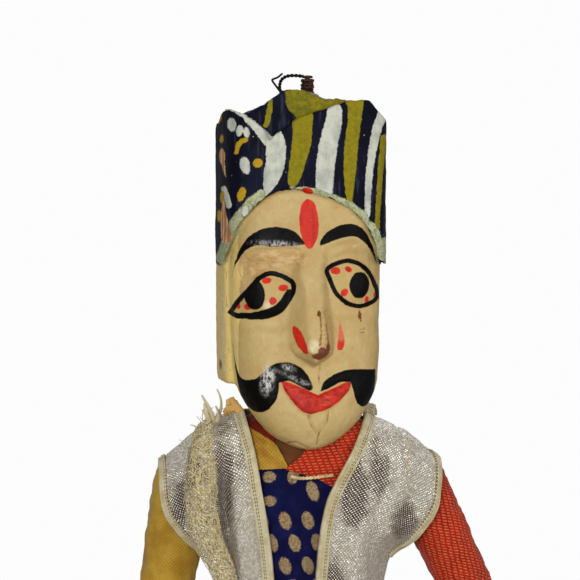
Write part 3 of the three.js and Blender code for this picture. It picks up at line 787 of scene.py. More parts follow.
def stripes(drawing, out, up, back):
    """The turban's stripes as (white, yellow): laid out on the front, and upright round the sides."""
    white = [
        drawing.area([
            (-8.1, -23.6), (-8.1, -23.6), (-6.2, -28.4), (-6.3, -34.8), (-7.5, -41.3), (-10.5, -46.5),
            (-15.2, -51.4), (-15.2, -51.4), (-15.4, -43.0), (-14.5, -37.0), (-14.0, -30.0),
            (-11.6, -25.6),
        ]),
        drawing.area([
            (12.2, -12.6), (16.4, -12.6), (17.3, -19.6), (15.6, -28.4), (14.4, -37.2), (13.8, -43.0),
            (12.8, -50.4), (7.0, -50.4), (6.4, -43.0), (6.7, -36.6), (7.9, -28.4), (10.2, -19.6),
        ]),
        drawing.stroke([
            (35.0, -15.5), (32.2, -22.0), (30.2, -31.0), (28.6, -43.0), (28.0, -58.4),
        ], 4.6, 2.4),
    ]
    yellow = [
        drawing.area([
            (-3.0, -15.0), (4.6, -13.4), (4.8, -24.0), (3.9, -31.0), (2.0, -37.0), (0.0, -43.0),
            (-2.5, -46.4), (-5.2, -45.2), (-5.0, -40.0), (-4.1, -33.0), (-3.2, -25.0),
        ]),
        drawing.area([
            (20.0, -8.6), (26.2, -8.6), (25.2, -19.6), (24.0, -30.0), (23.4, -38.0), (22.3, -46.5),
            (21.2, -54.4), (19.8, -53.6), (18.4, -46.0), (17.9, -38.0), (18.5, -28.4), (19.6, -19.6),
        ]),
        drawing.stroke([(35.0, -26.0), (34.0, -36.0), (33.2, -46.0), (32.2, -63.5)], 2.8, 2.0),
        drawing.stroke([(-11.6, -9.0), (-12.6, -14.0), (-14.4, -21.0)], 2.9, 2.2),
    ]
    on_crest = (drawing.points[:, 1] > height_at(PANEL_TOP, drawing.points[:, 0]) + 0.5) & (
        np.abs(drawing.points[:, 0] - 3) < 14.5
    )
    hidden = back | on_crest
    made_white, made_yellow = (np.where(hidden, FAR, union(*shapes)) for shapes in (white, yellow))
    for i, place in enumerate((16, 7, -2, -11, -20, -29)):
        wave = place + 1.2 * np.sin(up / 9 + i)
        band = np.where(back, np.maximum(np.abs(out - wave) - 2.2, up + 12 - 0.4 * i), FAR)
        if i % 2:
            made_white = union(made_white, band)
        else:
            made_yellow = union(made_yellow, band)
    return made_white, made_yellow


def flap_dabs(drawing):
    """Dabs of paint on the dark flap, as (white, yellow, bare wood)."""
    white = [
        drawing.dab(-28.6, -20.8, 3.8, 5.7, 10),
        drawing.dab(-25.2, -23.4, 3.0, 4.6, -10),
        drawing.dab(-22.3, -24.2, 2.6, 4.2, 14),
        drawing.dab(-23.0, -37.7, 4.1, 7.2, 12),
        drawing.stroke([(-32.2, -47.4), (-31.0, -50.6), (-29.8, -54.4)], 2.6, 2.4),
        drawing.dab(-23.0, -56.5, 3.6, 4.6, -20),
        drawing.dab(-29.8, -64.1, 2.4, 3.6, 30),
        drawing.stroke([(-32.4, -14.2), (-29.6, -14.0), (-26.4, -15.4), (-22.6, -17.9)], 1.0, 2.0),
        drawing.stroke([(-22.6, -18.1), (-18.0, -22.4), (-13.0, -28.0)], 2.2, 4.8),
    ]
    yellow = [
        drawing.dab(-33.3, -26.3, 2.0, 3.4),
        drawing.dab(-34.0, -17.0, 1.6, 5.0, -14),
        drawing.stroke([(-22.8, -27.2), (-25.4, -28.6), (-26.6, -32.4)], 2.2, 1.9),
        drawing.dab(-17.8, -36.9, 4.0, 4.0, 24),
        drawing.dab(-24.5, -49.7, 3.3, 6.0, -14),
        drawing.dab(-32.9, -50.8, 2.2, 5.4, -4),
        drawing.dab(-34.4, -58.8, 2.4, 5.0),
    ]
    bare = [
        drawing.dab(-33.0, -33.8, 2.9, 7.0, 6),
        drawing.stroke([(-32.4, -37), (-31.2, -42.4)], 1.6, 0.4, smooth=False),
        drawing.stroke([(-32.4, -52.6), (-32.0, -60.0), (-30.9, -67.6)], 0.9, 5.2),
    ]
    return union(*white), union(*yellow), union(*bare)


def paint_head(head):
    """Keeps, for every point, its distance to each painted shape."""
    place, facing = points_of(head), normals_of(head)
    x, y, z = place.T
    a = ACROSS[0] * x + ACROSS[1] * y
    wander = rough_field(place, 3.5, 1)
    away = facing[:, 0] * math.sin(VIEW_TURN) - facing[:, 1] * math.cos(VIEW_TURN) < 0.04
    drawing = Sheet(np.column_stack([a + 0.18 * wander, z + 0.18 * rough_field(place, 3.1, 2)]))
    hide = lambda distance: np.where(away, FAR, distance)

    def keep(name, *distances):
        """Paint that only the front shows."""
        set_number(head, name, hide(union(*distances)))

    edge = z - height_at(BROW_LINE, a)
    turban = -np.where(away | (y > -6), z - TURBAN_FOOT - 0.5 * wander, edge)
    set_number(head, "turban", turban)
    halo = union(*[drawing.stroke(*brush) for brush in HALO])
    halo = np.maximum(halo, -drawing.dab(-23.2, -56.5, 3.4, 4.4, -20))
    keep("halo", halo + 0.7 * wander)
    front_of_panel = (y < -31.7) & (a < 18.5)
    set_number(head, "olive", np.where(away | front_of_panel, FAR, drawing.area(OLIVE)))

    white, yellow = stripes(drawing, np.where(np.abs(facing[:, 0]) > 0.7, y - 9, x), z, away)
    on_flap = ((a < FLAP_EDGE) & (z < height_at(FLAP_TOP, a) + 0.6)) | (away & (x < 0))
    white_dab, yellow_dab, bare = flap_dabs(drawing)
    spatter = rough_field(place, 6.5, 4, 1)
    behind_flap = away & (x < -2)
    spattered = behind_flap & (z > TURBAN_FOOT + 6)
    loose_white, loose_yellow = 3.0 * (0.42 - spatter), 3.0 * (spatter + 0.52)
    for name, stripe, dabs, loose in (
        ("white", white, white_dab, loose_white),
        ("yellow", yellow, yellow_dab, loose_yellow),
    ):
        stripe = np.where(behind_flap | (turban >= 0.5), FAR, stripe)
        set_number(head, name, union(stripe, hide(dabs), np.where(spattered, loose, FAR)))
    keep("bare", bare)
    set_number(head, "flap", np.where(on_flap, -1.0, 1.0))

    keep("black", *[drawing.area(shape) for shape in BROWS + MOUSTACHE], eye_lines(drawing))
    keep("red", red_marks(drawing))
    keep("rubbed", drawing.stroke([(16.6, -100), (16.9, -109.5)], 3.0))
    keep("lips", drawing.area(LIPS), drawing.dab(2.9, -48.3, 4.8, 2.6, -10))
    keep("eyes", drawing.area(EYE_LEFT), drawing.area(EYE_RIGHT))
    keep(
        "cracks",
        *[drawing.stroke(line, 0.5, 0.3) for line in CHIN_CRACKS],
        drawing.stroke(NOSE_CRACKS[0], 0.5, 0.9),
        drawing.stroke(NOSE_CRACKS[1], 0.3, 0.8),
        drawing.stroke([(8.2, -120.6), (7.6, -124.8), (8.0, -128)], 0.5, 0.4),
    )
    for name, spots in SPOTS.items():
        keep(name, *[drawing.dab(*spot) for spot in spots])
    # ochre: painted shade under the left brow, and a brown stain beside the nose
    nose_side = drawing.stroke([(10.2, -98), (10.4, -106), (10.6, -113)], 2.4, 3.0)
    keep("ochre", drawing.area(OCHRE_SHADOW), nose_side)
    pencil = ([(25.0, -106.4), (27.0, -105.8)], [(24.9, -107.8), (26.8, -107.4)])
    keep("pencil", *[drawing.stroke(line, 0.4, smooth=False) for line in pencil])

    beside = facing[:, 0] < -0.6
    # the side number marks the flat side that faces -X, whose skin is painted lighter: painted light on that
    # side
    set_number(head, "side", np.where(beside & (y > -22), -1.0, 1.0))
    set_number(head, "side_wear", np.where(beside, drawing.dab(-34.2, -122.5, 1.6, 4.2), FAR))
    flecks = drawing.stroke([(-33.4, -92), (-33.2, -110), (-32.6, -124)], 2.6)
    set_number(head, "flecks", np.where(beside, flecks, FAR))


def sculpt_head(head):
    """Carves the features of the face, and the unevenness of knife work."""
    place, facing = points_of(head), normals_of(head)
    x, y, z = place.T
    a = ACROSS[0] * x + ACROSS[1] * y
    front = smoothstep(0.15, 0.6, -facing[:, 1])
    drawing = Sheet(np.column_stack([a, z]))
    relief = np.zeros(len(place))
    for socket in ((-16.2, -91.6, 27, 19, -22), (22.0, -87.6, 24, 18, 24)):
        eye = drawing.dab(*socket)
        relief -= 1.5 * smoothstep(6.5, 2.0, eye) - 1.9 * smoothstep(1.5, -6.0, eye)
    for shelf, depth in BROW_SHELVES:
        relief -= depth * smoothstep(0.8, -1.8, drawing.area(shelf))
    moustache = union(*[drawing.area(half) for half in MOUSTACHE])
    relief += 0.5 * smoothstep(0.5, -1.2, moustache)
    lips = drawing.area(LIPS)
    relief += 0.7 * smoothstep(0.4, -1.2, lips) - 0.25 * bump(lips, 1.2, 0.9)
    mouth = drawing.stroke([(-8, -127.2), (7.4, -133.4), (20, -128.2)], 0.1, smooth=False)
    relief -= 0.6 * bump(mouth, 0.0, 0.7)
    chin_cracks = union(*[drawing.stroke(line, 0.45, 0.3) for line in CHIN_CRACKS])
    relief -= 0.55 * smoothstep(0.6, -0.2, chin_cracks)
    nose_cracks = union(*[drawing.stroke(line, width) for line, width in zip(NOSE_CRACKS, (0.4, 0.3))])
    relief -= 0.4 * smoothstep(0.5, -0.2, nose_cracks)
    chin = drawing.area([(3.6, -141.6), (11.2, -140.6), (7.4, -149)])
    relief += 0.5 * smoothstep(1.5, -1.5, chin)
    place[:, 1] -= relief * front
    knife = 0.34 * rough_field(place, 13, 5, 1) + 0.13 * rough_field(place, 3.2, 6, 2)
    edge = rough_field(place * (1, 1, 0.35), 2.4, 8, 2)
    top_edge = smoothstep(-32, -8, z) * 0.4
    place += facing * (knife + top_edge * edge)[:, None]
    move_points(head, place)


def wood_grain(f):
    """Noises that several of the head's paints share."""
    fine = f.noise(0.9, 4, 0.65)
    return SimpleNamespace(
        wobble=f.scaled(f.noise(1.5, 4, 0.66), 1.3, -0.65),
        rough=f.scaled(f.noise(0.8, 5, 0.7), 1.5, -0.75),
        broad=f.noise(24, 3),
        patchy=f.noise(6, 4),
        fine=fine,
        streaks=f.noise(2.2, 3, 0.5, f.stretched(1, 1, 0.16)),
        scratches=f.noise(1.6, 3, 0.6, f.stretched(0.2, 1, 1)),
        chips=f.step(f.cells(4.2), 0.085, 0.05),
        rust=f.times(f.step(f.cells(3.4), 0.2, 0.1), f.step(fine, 0.42, 0.56)),
    )


def skin_paint(f, grain):
    tan = f.layers((176, 134, 84), (f.step(grain.scratches, 0.42, 0.62), (200, 166, 110)))
    specks = f.times(f.step(f.cells(2.3), 0.12, 0.06, 0, 0.6), f.step(grain.patchy, 0.46, 0.6))
    flecks = f.times(f.painted("flecks", grain.rough, 0.8), f.step(f.noise(1.3, 3, 0.6), 0.53, 0.6))
    return f.layers(
        (190, 164, 108),
        (f.step(grain.broad, 0.35, 0.7), (184, 153, 96)),
        (f.step(grain.patchy, 0.5, 0.75, 0, 0.5), (178, 142, 88)),
        (f.step(grain.streaks, 0.6, 0.8, 0, 0.35), (168, 150, 92)),
        # painted light: the flat side that faces -X made lighter
        (f.times(f.painted("side"), 0.85), (232, 202, 122)),
        # painted shade under the left brow, and a brown stain beside the nose
        (f.times(f.painted("ochre", grain.rough, 1.4), 0.75), tan),
        (f.times(f.painted("eyes"), 0.85), (186, 156, 96)),
        # painted highlights on the nose tip and in the left eye
        (f.painted("pale", grain.rough, 1.2), (216, 198, 160)),
        (specks, (110, 72, 38)),
        (f.step(f.noise(3.4, 5, 0.7), 0.53, 0.7, 0, 0.4), (156, 146, 82)),
        (f.step(f.noise(2.6, 5, 0.7), 0.54, 0.68, 0, 0.4), (206, 182, 136)),
        (flecks, (232, 226, 200)),
    )


def turban_paints(f, grain):
    """The turban's colours, by the name of the shape that each fills."""
    flaked = f.times(grain.chips, f.step(grain.fine, 0.4, 0.5))
    return {
        "turban": f.layers(
            (11, 13, 28),
            (f.step(grain.broad, 0.4, 0.65), (20, 24, 42)),
            (f.step(grain.streaks, 0.54, 0.72, 0, 0.6), (52, 54, 76)),
            (f.step(f.noise(3.0, 4, 0.7), 0.56, 0.7, 0, 0.4), (30, 28, 30)),
            (flaked, (140, 146, 156)),
        ),
        "olive": f.layers(
            (136, 122, 26),
            (f.step(f.noise(2.6, 5, 0.72), 0.36, 0.64), (102, 100, 28)),
            (f.step(grain.fine, 0.54, 0.66, 0, 0.6), (60, 64, 32)),
            (grain.rust, (170, 96, 30)),
        ),
        "white": f.layers(
            (198, 198, 182),
            (f.step(grain.patchy, 0.4, 0.7), (166, 170, 158)),
            (f.step(grain.streaks, 0.5, 0.7, 0, 0.5), (150, 154, 150)),
            (f.step(f.noise(1.7, 4, 0.7), 0.6, 0.74, 0, 0.5), (126, 128, 118)),
        ),
        "yellow": f.layers(
            (142, 127, 26),
            (f.step(f.noise(2.2, 5, 0.72), 0.36, 0.66), (120, 113, 28)),
            (f.times(f.painted("flap", grain.wobble), 0.85), (182, 142, 36)),
            (f.step(grain.fine, 0.56, 0.7, 0, 0.55), (84, 86, 34)),
            (f.times(grain.rust, 0.6), (150, 84, 28)),
        ),
        "halo": f.layers(
            (144, 150, 108),
            (f.step(f.noise(2.4, 4, 0.65), 0.38, 0.6), (176, 178, 142)),
            (f.step(grain.fine, 0.53, 0.64, 0, 0.6), (74, 80, 62)),
            (f.times(grain.chips, 0.8), (22, 26, 38)),
        ),
        "bare": f.layers(
            (222, 182, 138),
            (f.step(grain.streaks, 0.4, 0.6), (164, 112, 74)),
            (f.step(grain.fine, 0.58, 0.7, 0, 0.6), (110, 62, 38)),
        ),
    }


def face_paints(f, grain):
    """Red, the lips and black, by the name of the shape that each fills."""
    rubbed = f.times(f.painted("rubbed", grain.rough, 0.8), 0.55)
    return {
        "red": f.layers(
            (204, 38, 14),
            (f.step(grain.streaks, 0.4, 0.66), (180, 30, 12)),
            (f.step(f.noise(1.3, 3, 0.6), 0.56, 0.7, 0, 0.35), (214, 96, 54)),
            (rubbed, (206, 132, 92)),
        ),
        "lips": f.layers(
            (200, 42, 22),
            (f.step(f.noise(3.2, 4, 0.7), 0.4, 0.6), (158, 28, 16)),
            # lighter streaks: painted highlights on the lips
            (f.step(grain.scratches, 0.58, 0.72, 0, 0.6), (206, 96, 64)),
        ),
        "black": f.layers((7, 6, 5), (f.step(grain.fine, 0.5, 0.75, 0, 0.5), (18, 16, 15))),
    }


def painted_wood():
    """Every paint on the head, each filling its shape, with its gloss and its thickness."""
    f = Finish("painted_wood")
    grain = wood_grain(f)
    wobble, rough = grain.wobble, grain.rough
    turban, face = turban_paints(f, grain), face_paints(f, grain)
    # painted highlights: streaky glare on the moustache and along the left brow
    glare_streaks = f.noise(1.3, 5, 0.75, f.stretched(1, 1, 0.6))
    glare_highlights = f.times(f.painted("painted_glare", f.times(rough, 1.7), 1.3), f.step(glare_streaks, 0.4, 0.56))
    broken = f.step(f.noise(1.6, 3, 0.6), 0.36, 0.5, 0.25, 0.85)
    colour = f.layers(
        skin_paint(f, grain),
        (f.painted("side_wear", rough), (138, 94, 56)),
        (f.painted("turban", wobble), turban["turban"]),
        (f.painted("olive", wobble, 0.4), turban["olive"]),
        (f.painted("white", wobble), turban["white"]),
        (f.painted("yellow", wobble), turban["yellow"]),
        (f.painted("halo", rough, 0.35), turban["halo"]),
        (f.painted("bare", rough), turban["bare"]),
        (f.painted("red", f.times(wobble, 0.5)), face["red"]),
        (f.painted("lips", f.times(wobble, 0.5)), face["lips"]),
        (f.painted("black", f.times(wobble, 0.4)), face["black"]),
        # painted glare highlights
        (glare_highlights, (202, 198, 192)),
        (f.times(f.painted("wear", f.times(rough, 1.6)), 0.95), (104, 44, 26)),
        (f.painted("pencil", 0.0, 0.15), (90, 98, 104)),
        (f.times(f.painted("cracks", wobble, 0.35), broken), (104, 56, 28)),
    )
    dark, cloth_part = f.painted("black"), f.painted("turban")
    roughness = f.plus(f.step(grain.patchy, 0.3, 0.7, 0.46, 0.6), f.times(cloth_part, 0.12))
    gloss = f.times(f.step(cloth_part, 0, 1, 0.3, 0.09), f.step(dark, 0, 1, 1, 0.35))
    f.feed(f.shader.inputs["Specular IOR Level"], gloss)
    thick = f.plus(f.times(dark, 0.9), f.times(f.painted("white", wobble), 1.0))
    thick = f.plus(thick, f.times(f.painted("yellow", wobble), 0.9))
    lumps = f.scaled(f.noise(1.8, 4), 2.0, 0.4)
    thick = f.plus(thick, f.times(f.painted("halo", rough), lumps))
    brush = f.plus(f.times(grain.streaks, 0.5), f.times(grain.fine, 0.35))
    height = f.plus(thick, f.plus(brush, f.times(f.noise(3.2, 3), 1.3)))
    return f.finish(colour, roughness, height, 0.17)


# ---- cloth and thread in general ----------------------------------------------------------------

BODY_CENTRE = np.array((0, 0, -190.0))

def patch(rails, across, along):
    """A grid of points, along by across, on a smooth surface through rails that run the same way."""
    lines = [through(rail, along) for rail in rails]
    rows = []
    for i in range(along):
        keys = [line[i] for line in lines]
        rows.append(through(keys, across) if len(keys) > 2 else np.linspace(keys[0], keys[1], across))
    return np.array(rows)


def outward_normals(grid):
    """Directions out of the face of a grid of cloth, away from the body."""
    down, over = np.gradient(grid, axis=0), np.gradient(grid, axis=1)
    out = np.cross(over, down)
    out /= np.maximum(np.linalg.norm(out, axis=2, keepdims=True), 1e-9)
    return out if np.sum(out * (grid - BODY_CENTRE)) > 0 else -out


def flat_size(grid):
    """Width, length and area of a grid of cloth, in metres."""
    over = np.linalg.norm(np.diff(grid, axis=1), axis=2).sum(axis=1).max()
    down = np.linalg.norm(np.diff(grid, axis=0), axis=2).sum(axis=0).max()
    side, rise = np.diff(grid, axis=1)[:-1], np.diff(grid, axis=0)[:, :-1]
    area = np.linalg.norm(np.cross(side, rise), axis=2).sum()
    return over * MM, down * MM, area * MM * MM


def cloth(name, grid, finish, thickness, wrap=False, level=False):
    """A sheet of cloth of real thickness on a grid of points. It keeps how far each point is across and
    along the cloth, in millimetres; a level weave takes them from the point's x and z."""
    rows, columns, _ = grid.shape
    thing = mesh_object(name, grid.reshape(-1, 3), grid_faces(rows, columns, wrap))
    step_over = np.linalg.norm(np.diff(grid, axis=1), axis=2).mean(axis=0)
    step_down = np.linalg.norm(np.diff(grid, axis=0), axis=2).mean(axis=1)
    u = np.tile(np.concatenate([[0], np.cumsum(step_over)]), rows)
    v = np.repeat(np.concatenate([[0], np.cumsum(step_down)]), columns)
    if level:
        u, v = grid[..., 0].ravel(), grid[..., 2].ravel()
    set_number(thing, "across", u)
    set_number(thing, "along", v)
    solid = thing.modifiers.new("thickness", "SOLIDIFY")
    solid.thickness = thickness * MM
    solid.offset = 0.0
    apply_modifiers(thing)
    thing.data.materials.append(finish)
    return thing


def frames_along(path, up):
    """Directions along and across a path, given what should count as up at each point."""
    path = np.asarray(path, float)
    ahead = np.gradient(path, axis=0)
    ahead /= np.linalg.norm(ahead, axis=1, keepdims=True)
    up = np.asarray(up, float) * np.ones_like(path)
    side = np.cross(ahead, up)
    side /= np.maximum(np.linalg.norm(side, axis=1, keepdims=True), 1e-9)
    return ahead, side, np.cross(side, ahead)


def swept(name, path, section, up=(0, 1, 0.001), scale=None, twist=0.0):
    """A closed tube: a section of (side, up) points carried along a path."""
    path = np.asarray(path, float)
    _, side, lift = frames_along(path, up)
    scale = np.ones(len(path)) if scale is None else np.asarray(scale)
    section = np.asarray(section, float)
    points = []
    for i, centre in enumerate(path):
        turn = twist * i / max(len(path) - 1, 1)
        c, s = math.cos(turn), math.sin(turn)
        for x, y in section * scale[i]:
            points.append(centre + side[i] * (c * x - s * y) + lift[i] * (s * x + c * y))
    faces = grid_faces(len(path), len(section), wrap=True) + end_faces(len(path), len(section))
    return outward(mesh_object(name, points, faces))


def circle(radius, sides=10, flat=1.0):
    angle = np.linspace(0, 2 * np.pi, sides, endpoint=False)
    return np.column_stack([radius * np.cos(angle), radius * flat * np.sin(angle)])


def many_threads(name, lines, radius, finish, sides=5):
    """Many short threads as one object."""
    points, faces = [], []
    for line in lines:
        line = np.asarray(line, float)
        thick = radius * (0.7 + 0.6 * rng.random())
        _, side, lift = frames_along(line, (0.13, 0.2, 0.97))
        start = len(points)
        for i, centre in enumerate(line):
            taper = 0.45 if i in (0, len(line) - 1) else 1.0
            for x, y in circle(thick * taper, sides):
                points.append(centre + side[i] * x + lift[i] * y)
        faces += grid_faces(len(line), sides, wrap=True, start=start) + end_faces(len(line), sides, start)
    thing = outward(mesh_object(name, points, faces))
    thing.data.materials.append(finish)
    return thing


def twisted(name, path, strand, strands, pitch, finish, up=(0, 1, 0.001)):
    """A cord of strands laid round each other along a path."""
    path = np.asarray(path, float)
    length = np.linalg.norm(np.diff(path, axis=0), axis=1).sum()
    count = max(12, int(length / pitch * 10))
    fine = through(path, count)
    _, side, lift = frames_along(fine, up)
    turn = 2 * np.pi * np.linspace(0, length / pitch, count)
    pieces = []
    for k in range(strands):
        angle = turn + 2 * np.pi * k / strands
        line = fine + strand * (side * np.cos(angle)[:, None] + lift * np.sin(angle)[:, None])
        pieces.append(swept(f"{name}_{k}", line, circle(strand * 1.04, 7), up=(0.3, 0.5, 0.8)))
    thing = join(name, pieces)
    smooth_shaded(thing)
    thing.data.materials.append(finish)
    return thing


# ---- cloth finishes -----------------------------------------------------------------------------

STRIP_PITCH = 1.45  # between the lamé's strips of metal
RIB_PITCH = 0.62  # between the braid's ribs
STITCH_ROWS = (2.9, 3.7)  # where the braid's two rows of stitches run, across it
STITCH_PITCH = 1.5
CLOTH_ROUGHNESS = 0.88


def weave(f, pitch):
    """Height of a plain weave whose threads are pitch millimetres apart, from the sheet's own u and v."""
    u = f.times(f.number("across"), math.pi / pitch)
    v = f.times(f.number("along"), math.pi / pitch)
    over = f.times(f.sine(u), f.sine(v))
    return f.scaled(over, 0.5, 0.5)


def lame():
    """Silver lamé: strips of metal woven slantwise over pale thread, worn to the brown warp in places, and
    painted that brown as shade in a deep fold.
    """
    f = Finish("silver_lame")
    u, v = f.number("across"), f.number("along")
    wander = f.times(f.noise(3.0, 2), 1.1)
    right = f.times(f.plus(f.plus(u, v), wander), math.pi / STRIP_PITCH)
    left = f.times(f.maths("SUBTRACT", f.times(u, 1.1), v), math.pi / STRIP_PITCH)
    woven = f.maths("ABSOLUTE", f.times(f.sine(right), f.sine(left)))
    broad, mid, fine = f.noise(15, 2), f.noise(4, 3), f.noise(0.8, 2, 0.6)
    spread = f.scaled(mid, 7.0, f.scaled(broad, 7.0, -7.0))
    # the worn number holds real wear and painted shade in a deep fold; both show the brown warp
    worn = f.painted("worn", spread, 2.6)
    cell = f.noise(1.2, 0)
    metal = f.layers((196, 186, 168), (f.step(cell, 0.35, 0.65), (252, 248, 238)))
    thread = f.layers((166, 154, 130), (worn, (64, 40, 24)))
    gap = f.step(worn, 0, 1, 0.1, 0.52)
    cover = f.step(f.maths("SUBTRACT", woven, gap), -0.08, 0.14)
    f.feed(f.shader.inputs["Metallic"], f.times(cover, f.step(cell, 0.3, 0.6, 0.3, 0.75)))
    roughness = f.step(f.noise(1.6, 2), 0.3, 0.7, 0.22, 0.42)
    height = f.plus(f.times(woven, 1.1), f.times(cell, 1.5))
    height = f.plus(height, f.times(f.noise(3.4, 2), 1.8))
    height = f.plus(height, f.times(fine, 0.3))
    return f.finish(f.mix(cover, thread, metal), roughness, height, 0.3)


def cotton(name, one, other, pitch=0.8, hatch=None, dirt=(120, 84, 40), lean=0.0):
    """Coarse cotton in two close shades, with an optional hatch, slanted by lean, in a third colour."""
    f = Finish(name)
    woven = weave(f, pitch)
    broad, fine = f.noise(10, 3), f.noise(0.7, 3, 0.7)
    colour = f.layers(one, (f.step(broad, 0.35, 0.68), other))
    colour = f.mix(f.step(woven, 0.25, 0.8, 0.0, 0.22), colour, shade(*dirt), "MULTIPLY")
    if hatch:
        u, v = f.number("across"), f.number("along")
        turned = lambda turn: f.plus(f.times(u, math.cos(turn + lean)), f.times(v, math.sin(turn + lean)))
        row, dash = turned(0.96), turned(-0.24)
        row = f.maths("PINGPONG", f.plus(row, f.times(f.noise(2.5, 2), 0.7)), 0.6)
        dash = f.maths("PINGPONG", f.plus(dash, f.times(f.noise(3.0, 2), 1.4)), 1.25)
        drawn = f.times(f.step(row, 0.28, 0.44), f.step(dash, 0.3, 0.6))
        drawn = f.times(drawn, f.step(f.noise(0.8, 3), 0.3, 0.5))
        colour = f.layers(colour, (f.times(drawn, 0.75), hatch))
    colour = f.layers(colour, (f.step(fine, 0.55, 0.8, 0, 0.35), dirt))
    f.feed(f.shader.inputs["Specular IOR Level"], 0.2)
    return f.finish(colour, CLOTH_ROUGHNESS, f.plus(woven, f.times(fine, 0.8)), 0.2, sheen=0.1)


def brocade():
    """Navy cotton with dull gold leaves woven in, and a worn nap."""
    f = Finish("navy_brocade")
    woven = weave(f, 0.55)
    fine = f.noise(0.7, 3, 0.7)
    colour = f.layers((16, 17, 54), (f.step(f.noise(7, 3), 0.4, 0.7), (26, 27, 70)))
    gold = f.layers((176, 150, 110), (f.step(fine, 0.4, 0.62), (120, 98, 70)))
    ragged = f.painted("leaf", f.scaled(fine, 1.2, -0.6), 0.3)
    leaf = f.times(ragged, f.step(woven, 0.1, 0.5, 0.55, 1))
    f.feed(f.shader.inputs["Specular IOR Level"], 0.1)
    return f.finish(f.mix(leaf, colour, gold), 0.85, f.plus(woven, f.times(leaf, 0.8)), 0.16, sheen=0.06)


def braid_finish():
    """Cotton tape: fine slanted ribs, two rows of dark stitches, and a darker colour in the grooves between
    the ribs.
    """
    f = Finish("cream_braid")
    across, along = f.number("across"), f.number("along")
    slant = f.plus(along, f.maths("PINGPONG", f.times(across, 0.8), 0.9))
    ribs = f.sine(f.times(slant, 2 * math.pi / RIB_PITCH))
    rows = [f.step(f.maths("ABSOLUTE", f.maths("SUBTRACT", across, at)), 0.26, 0.1) for at in STITCH_ROWS]
    dash = f.step(f.sine(f.times(along, 2 * math.pi / STITCH_PITCH)), -0.6, 0.1)
    stitch = f.times(f.maths("MAXIMUM", *rows), dash)
    fine = f.noise(0.5, 3, 0.7)
    colour = f.layers(
        (244, 234, 194),
        (f.step(f.noise(5, 4), 0.4, 0.7), (220, 202, 154)),
        (f.times(f.step(ribs, 0.0, -0.9), 0.4), (158, 130, 80)),
        (f.step(fine, 0.54, 0.74, 0, 0.5), (160, 130, 78)),
        (f.times(stitch, 0.8), (84, 58, 30)),
    )
    height = f.plus(f.times(ribs, 0.6), f.times(stitch, -1.2))
    f.feed(f.shader.inputs["Specular IOR Level"], 0.2)
    return f.finish(colour, CLOTH_ROUGHNESS, f.plus(height, f.times(fine, 1.2)), 0.24, sheen=0.1)


def thread_finish(name, light, dark, size=2.5):
    """Thread that goes from light to dark in patches of the given size."""
    f = Finish(name)
    colour = f.layers(light, (f.step(f.noise(size, 3), 0.35, 0.65), dark))
    return f.finish(colour, 0.85, f.noise(0.25, 3), 0.06, sheen=0.15)


def iron(name, light, dark, metallic):
    """Iron, with rust in the light colour."""
    f = Finish(name, metallic)
    rust = f.step(f.noise(1.2, 4, 0.7), 0.4, 0.62)
    return f.finish(f.layers(dark, (rust, light)), f.step(rust, 0, 1, 0.45, 0.85), f.noise(0.4, 4, 0.7), 0.1)


# ---- waistcoat ----------------------------------------------------------------------------------
# Each front is a surface through three rails, from the hem up and over to the shoulder seam.

VEST_RIGHT = [
    [
        (-14, -22, -233), (-15.5, -24.5, -215), (-17.2, -26, -199), (-19.6, -26.8, -183),
        (-21.7, -26.4, -171), (-23.6, -23, -158), (-25.4, -17.5, -148), (-26.2, -9, -141.6),
        (-26.8, 0, -140.6),
    ],
    [
        (-25.5, -17.5, -233), (-28, -20, -215), (-30, -22.4, -200), (-37, -25.5, -187),
        (-41.6, -27, -175), (-43.2, -25, -165), (-44, -19.4, -158.0), (-44.6, -10.4, -152.6),
        (-44.8, 0, -150.8),
    ],
    [
        (-33.5, 0, -233), (-36.5, 0, -217), (-39.4, -3, -205), (-50, -15, -196), (-59.4, -19, -185),
        (-61.8, -19, -175), (-61.8, -16, -168.4), (-61.2, -9.6, -164.6), (-60.2, 0, -163.2),
    ],
]
VEST_LEFT = [
    [
        (2, -24, -233), (2.8, -26, -215), (4.0, -27, -198), (6.8, -27.4, -181), (12.4, -26.6, -169),
        (19.2, -23, -158), (24.0, -17.5, -149.2), (26.8, -9, -145.2), (28.4, 0, -144.4),
    ],
    [
        (20, -19.5, -233), (22, -22, -215), (25, -24, -200), (31, -26.6, -186), (37, -27.4, -174),
        (40.4, -25, -163), (42.6, -19.6, -156.4), (44.0, -10.6, -152.2), (44.6, 0, -151.0),
    ],
    [
        (33.5, 0, -233), (36.5, 0, -217), (39.4, -3, -205), (48, -15, -196), (54.8, -18.6, -185),
        (56.4, -18.6, -174), (57.6, -15.6, -167.6), (58.0, -9.4, -163.6), (57.8, 0, -162.4),
    ],
]
VEST_ROWS, VEST_COLUMNS = 130, 76
VEST_CLOTH = 0.6
FRONT_BRAID = 4.3  # its width
ARMHOLE_BRAID = 3.0
BRAID_HEIGHT = 1.5
BRAID_OVERHANG = 0.7  # how far it stands out past the edge under it
BRAID_START = 0.24  # the share of the armhole's edge, from the hem, that has no braid


def fold(grid, normals, line, height, width):
    """A ridge, or a groove if its height is negative, along a line of (x, z) on the front of a sheet."""
    flat = grid.reshape(-1, 3)[:, (0, 2)]
    gap, along = distance_to_line(flat, line)
    fade = np.sin(np.clip(along, 0.02, 0.98) * np.pi) ** 0.5
    lift = height * np.exp(-((gap / width) ** 2)) * fade
    return grid + normals * lift.reshape(grid.shape[:2])[..., None]


def crumple(grid, normals, size, height, seed):
    """Uneven waves of about the given size and height over a sheet."""
    lift = rough_field(grid.reshape(-1, 3), size, seed, 2).reshape(grid.shape[:2])
    return grid + normals * (height * lift)[..., None]


